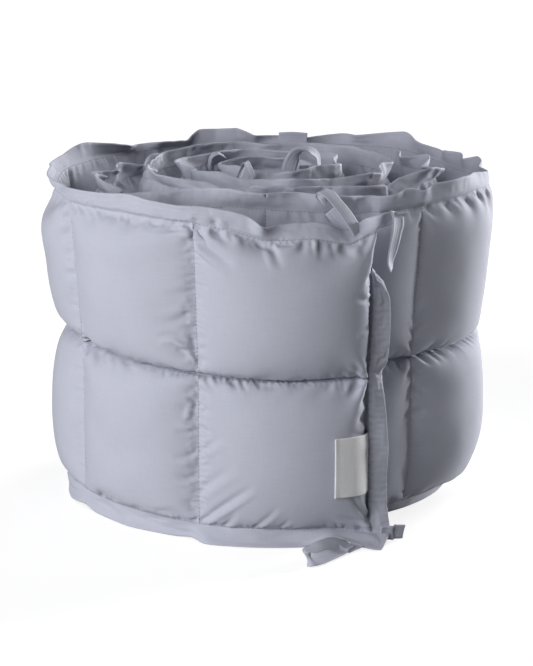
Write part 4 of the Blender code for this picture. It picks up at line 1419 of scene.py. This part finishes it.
# ------------------------------------------------------------------ label
def label_object(name, mat):
    """A bare folded label sewn into the end seam, lying on the swell of the first box."""
    ni, nj = 24, 40
    u0, u1, v0, v1 = FLANGE - 0.0012, FLANGE + 0.0345, 0.0525, 0.1060
    gu, gv = np.linspace(u0, u1, ni + 1), np.linspace(v0, v1, nj + 1)
    iu, iv = np.interp(gu, sh.U, np.arange(sh.ni)), np.interp(gv, sh.V, np.arange(sh.nj))
    a, b = iu.astype(int), iv.astype(int)
    fa, fb = (iu - a)[None, :, None], (iv - b)[None, None, :]
    O = M[:, 0]
    S = (O[:, a][:, :, b] * (1 - fa) * (1 - fb) + O[:, a + 1][:, :, b] * fa * (1 - fb)
         + O[:, a][:, :, b + 1] * (1 - fa) * fb + O[:, a + 1][:, :, b + 1] * fa * fb)
    x, y = np.meshgrid(np.linspace(0, 1, ni + 1), np.linspace(-1, 1, nj + 1), indexing="ij")
    basis = np.stack([np.ones_like(x), x, y, x * x, x * y, y * y, x ** 3, x * x * y], -1).reshape(-1, 8)
    fit = np.stack([(basis @ np.linalg.lstsq(basis, S[c].reshape(-1), rcond=None)[0]).reshape(x.shape) for c in range(3)])
    n = np.cross(np.gradient(fit, axis=2), np.gradient(fit, axis=1), axis=0)
    n /= np.linalg.norm(n, axis=0)
    proud = ((S - fit) * n).sum(0)
    lift = np.maximum(proud, 0)
    for _ in range(6):
        lift = np.maximum(lift, 0.25 * (np.roll(lift, 1, 0) + np.roll(lift, -1, 0) + np.roll(lift, 1, 1) + np.roll(lift, -1, 1)))
    P = fit + n * (lift + 0.0006 + 0.0016 * x ** 2)
    half = np.full(x.shape, 0.00035)
    half[-3:, :] = [[0.00045], [0.0005], [0.0002]]
    up, dn = P + n * half, P - n * half
    idx = np.arange(2 * x.size).reshape(2, ni + 1, nj + 1)
    V = np.concatenate([up.reshape(3, -1).T, dn.reshape(3, -1).T]) + OFF
    faces = [grid_faces(idx[0]), grid_faces(idx[1], True)]
    ring = [(0, j) for j in range(nj + 1)] + [(i, nj) for i in range(1, ni + 1)] \
        + [(ni, j) for j in range(nj - 1, -1, -1)] + [(i, 0) for i in range(ni - 1, 0, -1)]
    ri, rj = np.array(ring).T
    o, m = idx[0][ri, rj], idx[1][ri, rj]
    faces.append(np.stack([o, m, np.roll(m, -1), np.roll(o, -1)], -1))
    uv = np.stack(np.broadcast_arrays(gu[:, None], gv[None, :]), -1).reshape(-1, 2)
    obj = new_mesh(name, V, np.vstack(faces), np.vstack([uv, uv + [0, 0.1]]), mat)
    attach(obj, "root")
    return obj, P


label, LP = label_object("label_cloth", LABEL)
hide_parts("label")
print("label corners", [(LP[:, i, j] * 1000).round(1).tolist() for i, j in ((0, 0), (0, -1), (-1, 0), (-1, -1))])

# ------------------------------------------------------------------ floor, light, camera
bpy.ops.mesh.primitive_plane_add(size=16)
floor = bpy.context.object
floor.name = "floor"
fm = bpy.data.materials.new("floor_white")
fm.use_nodes = True
ft = fm.node_tree
fb = ft.nodes["Principled BSDF"]
fb.inputs["Base Color"].default_value = (0.39, 0.39, 0.39, 1)
fb.inputs["Roughness"].default_value = 0.9
fb.inputs["Specular IOR Level"].default_value = 0.1
fb.inputs["Emission Color"].default_value = (1, 1, 1, 1)
lp = ft.nodes.new("ShaderNodeLightPath")
gain = ft.nodes.new("ShaderNodeMath")
gain.operation = "MULTIPLY"
gain.inputs[1].default_value = 0.755
ft.links.new(lp.outputs["Is Camera Ray"], gain.inputs[0])
ft.links.new(gain.outputs[0], fb.inputs["Emission Strength"])
floor.data.materials.append(fm)

world = bpy.data.worlds.new("studio")
bpy.context.scene.world = world
world.use_nodes = True
world.node_tree.nodes["Background"].inputs[0].default_value = (0.90, 0.96, 1.10, 1)
world.node_tree.nodes["Background"].inputs[1].default_value = 0.015


def sun_light(name, azimuth, elevation, power, spread, colour=(1, 1, 1)):
    """Azimuth in degrees from the front, positive to the left of the picture."""
    a, e = math.radians(azimuth), math.radians(elevation)
    toward = Vector((-math.sin(a) * math.cos(e), -math.cos(a) * math.cos(e), math.sin(e)))
    l = bpy.data.lights.new(name, "SUN")
    l.energy = power
    l.angle = math.radians(spread)
    l.color = colour
    o = bpy.data.objects.new(name, l)
    bpy.context.scene.collection.objects.link(o)
    o.location = toward * 3.0
    o.rotation_euler = (-toward).to_track_quat("-Z", "Y").to_euler()
    return o


def softbox(name, azimuth, distance, z_low, z_high, width, power):
    a = math.radians(azimuth)
    l = bpy.data.lights.new(name, "AREA")
    l.shape = "RECTANGLE"
    l.size, l.size_y, l.energy = width, z_high - z_low, power
    o = bpy.data.objects.new(name, l)
    bpy.context.scene.collection.objects.link(o)
    o.location = (-math.sin(a) * distance, -math.cos(a) * distance, (z_low + z_high) / 2)
    o.rotation_euler = Vector((math.sin(a), math.cos(a), 0)).to_track_quat("-Z", "Y").to_euler()


softbox("key", 57, 1.6, 0.02, 0.60, 1.0, 16.4)
sun_light("rim", -127, 4, 6.5, 20)
sun_light("rim_high", -142, 25, 1.35, 26)
sun_light("front", 30, 31, 1.18, 28)
sun_light("side", 50, 20, 0.50, 22)
sun_light("top", -70, 66, 0.25, 40)

D, E, S_PX, TX, TZ = 2.2, math.radians(13.9), 1120.0, -0.006, 0.1345
cam = bpy.data.cameras.new("camera")
camera = bpy.data.objects.new("camera", cam)
bpy.context.scene.collection.objects.link(camera)
camera.location = Vector((TX, 0, TZ)) + Vector(OFF) + Vector((0, -math.cos(E), math.sin(E))) * D
camera.rotation_euler = (math.pi / 2 - E, 0, 0)
cam.sensor_fit = "VERTICAL"
cam.sensor_height = 36.0
cam.lens = S_PX * D * 36.0 / 666.0
bpy.context.scene.camera = camera
bpy.context.scene.view_settings.view_transform = "Standard"
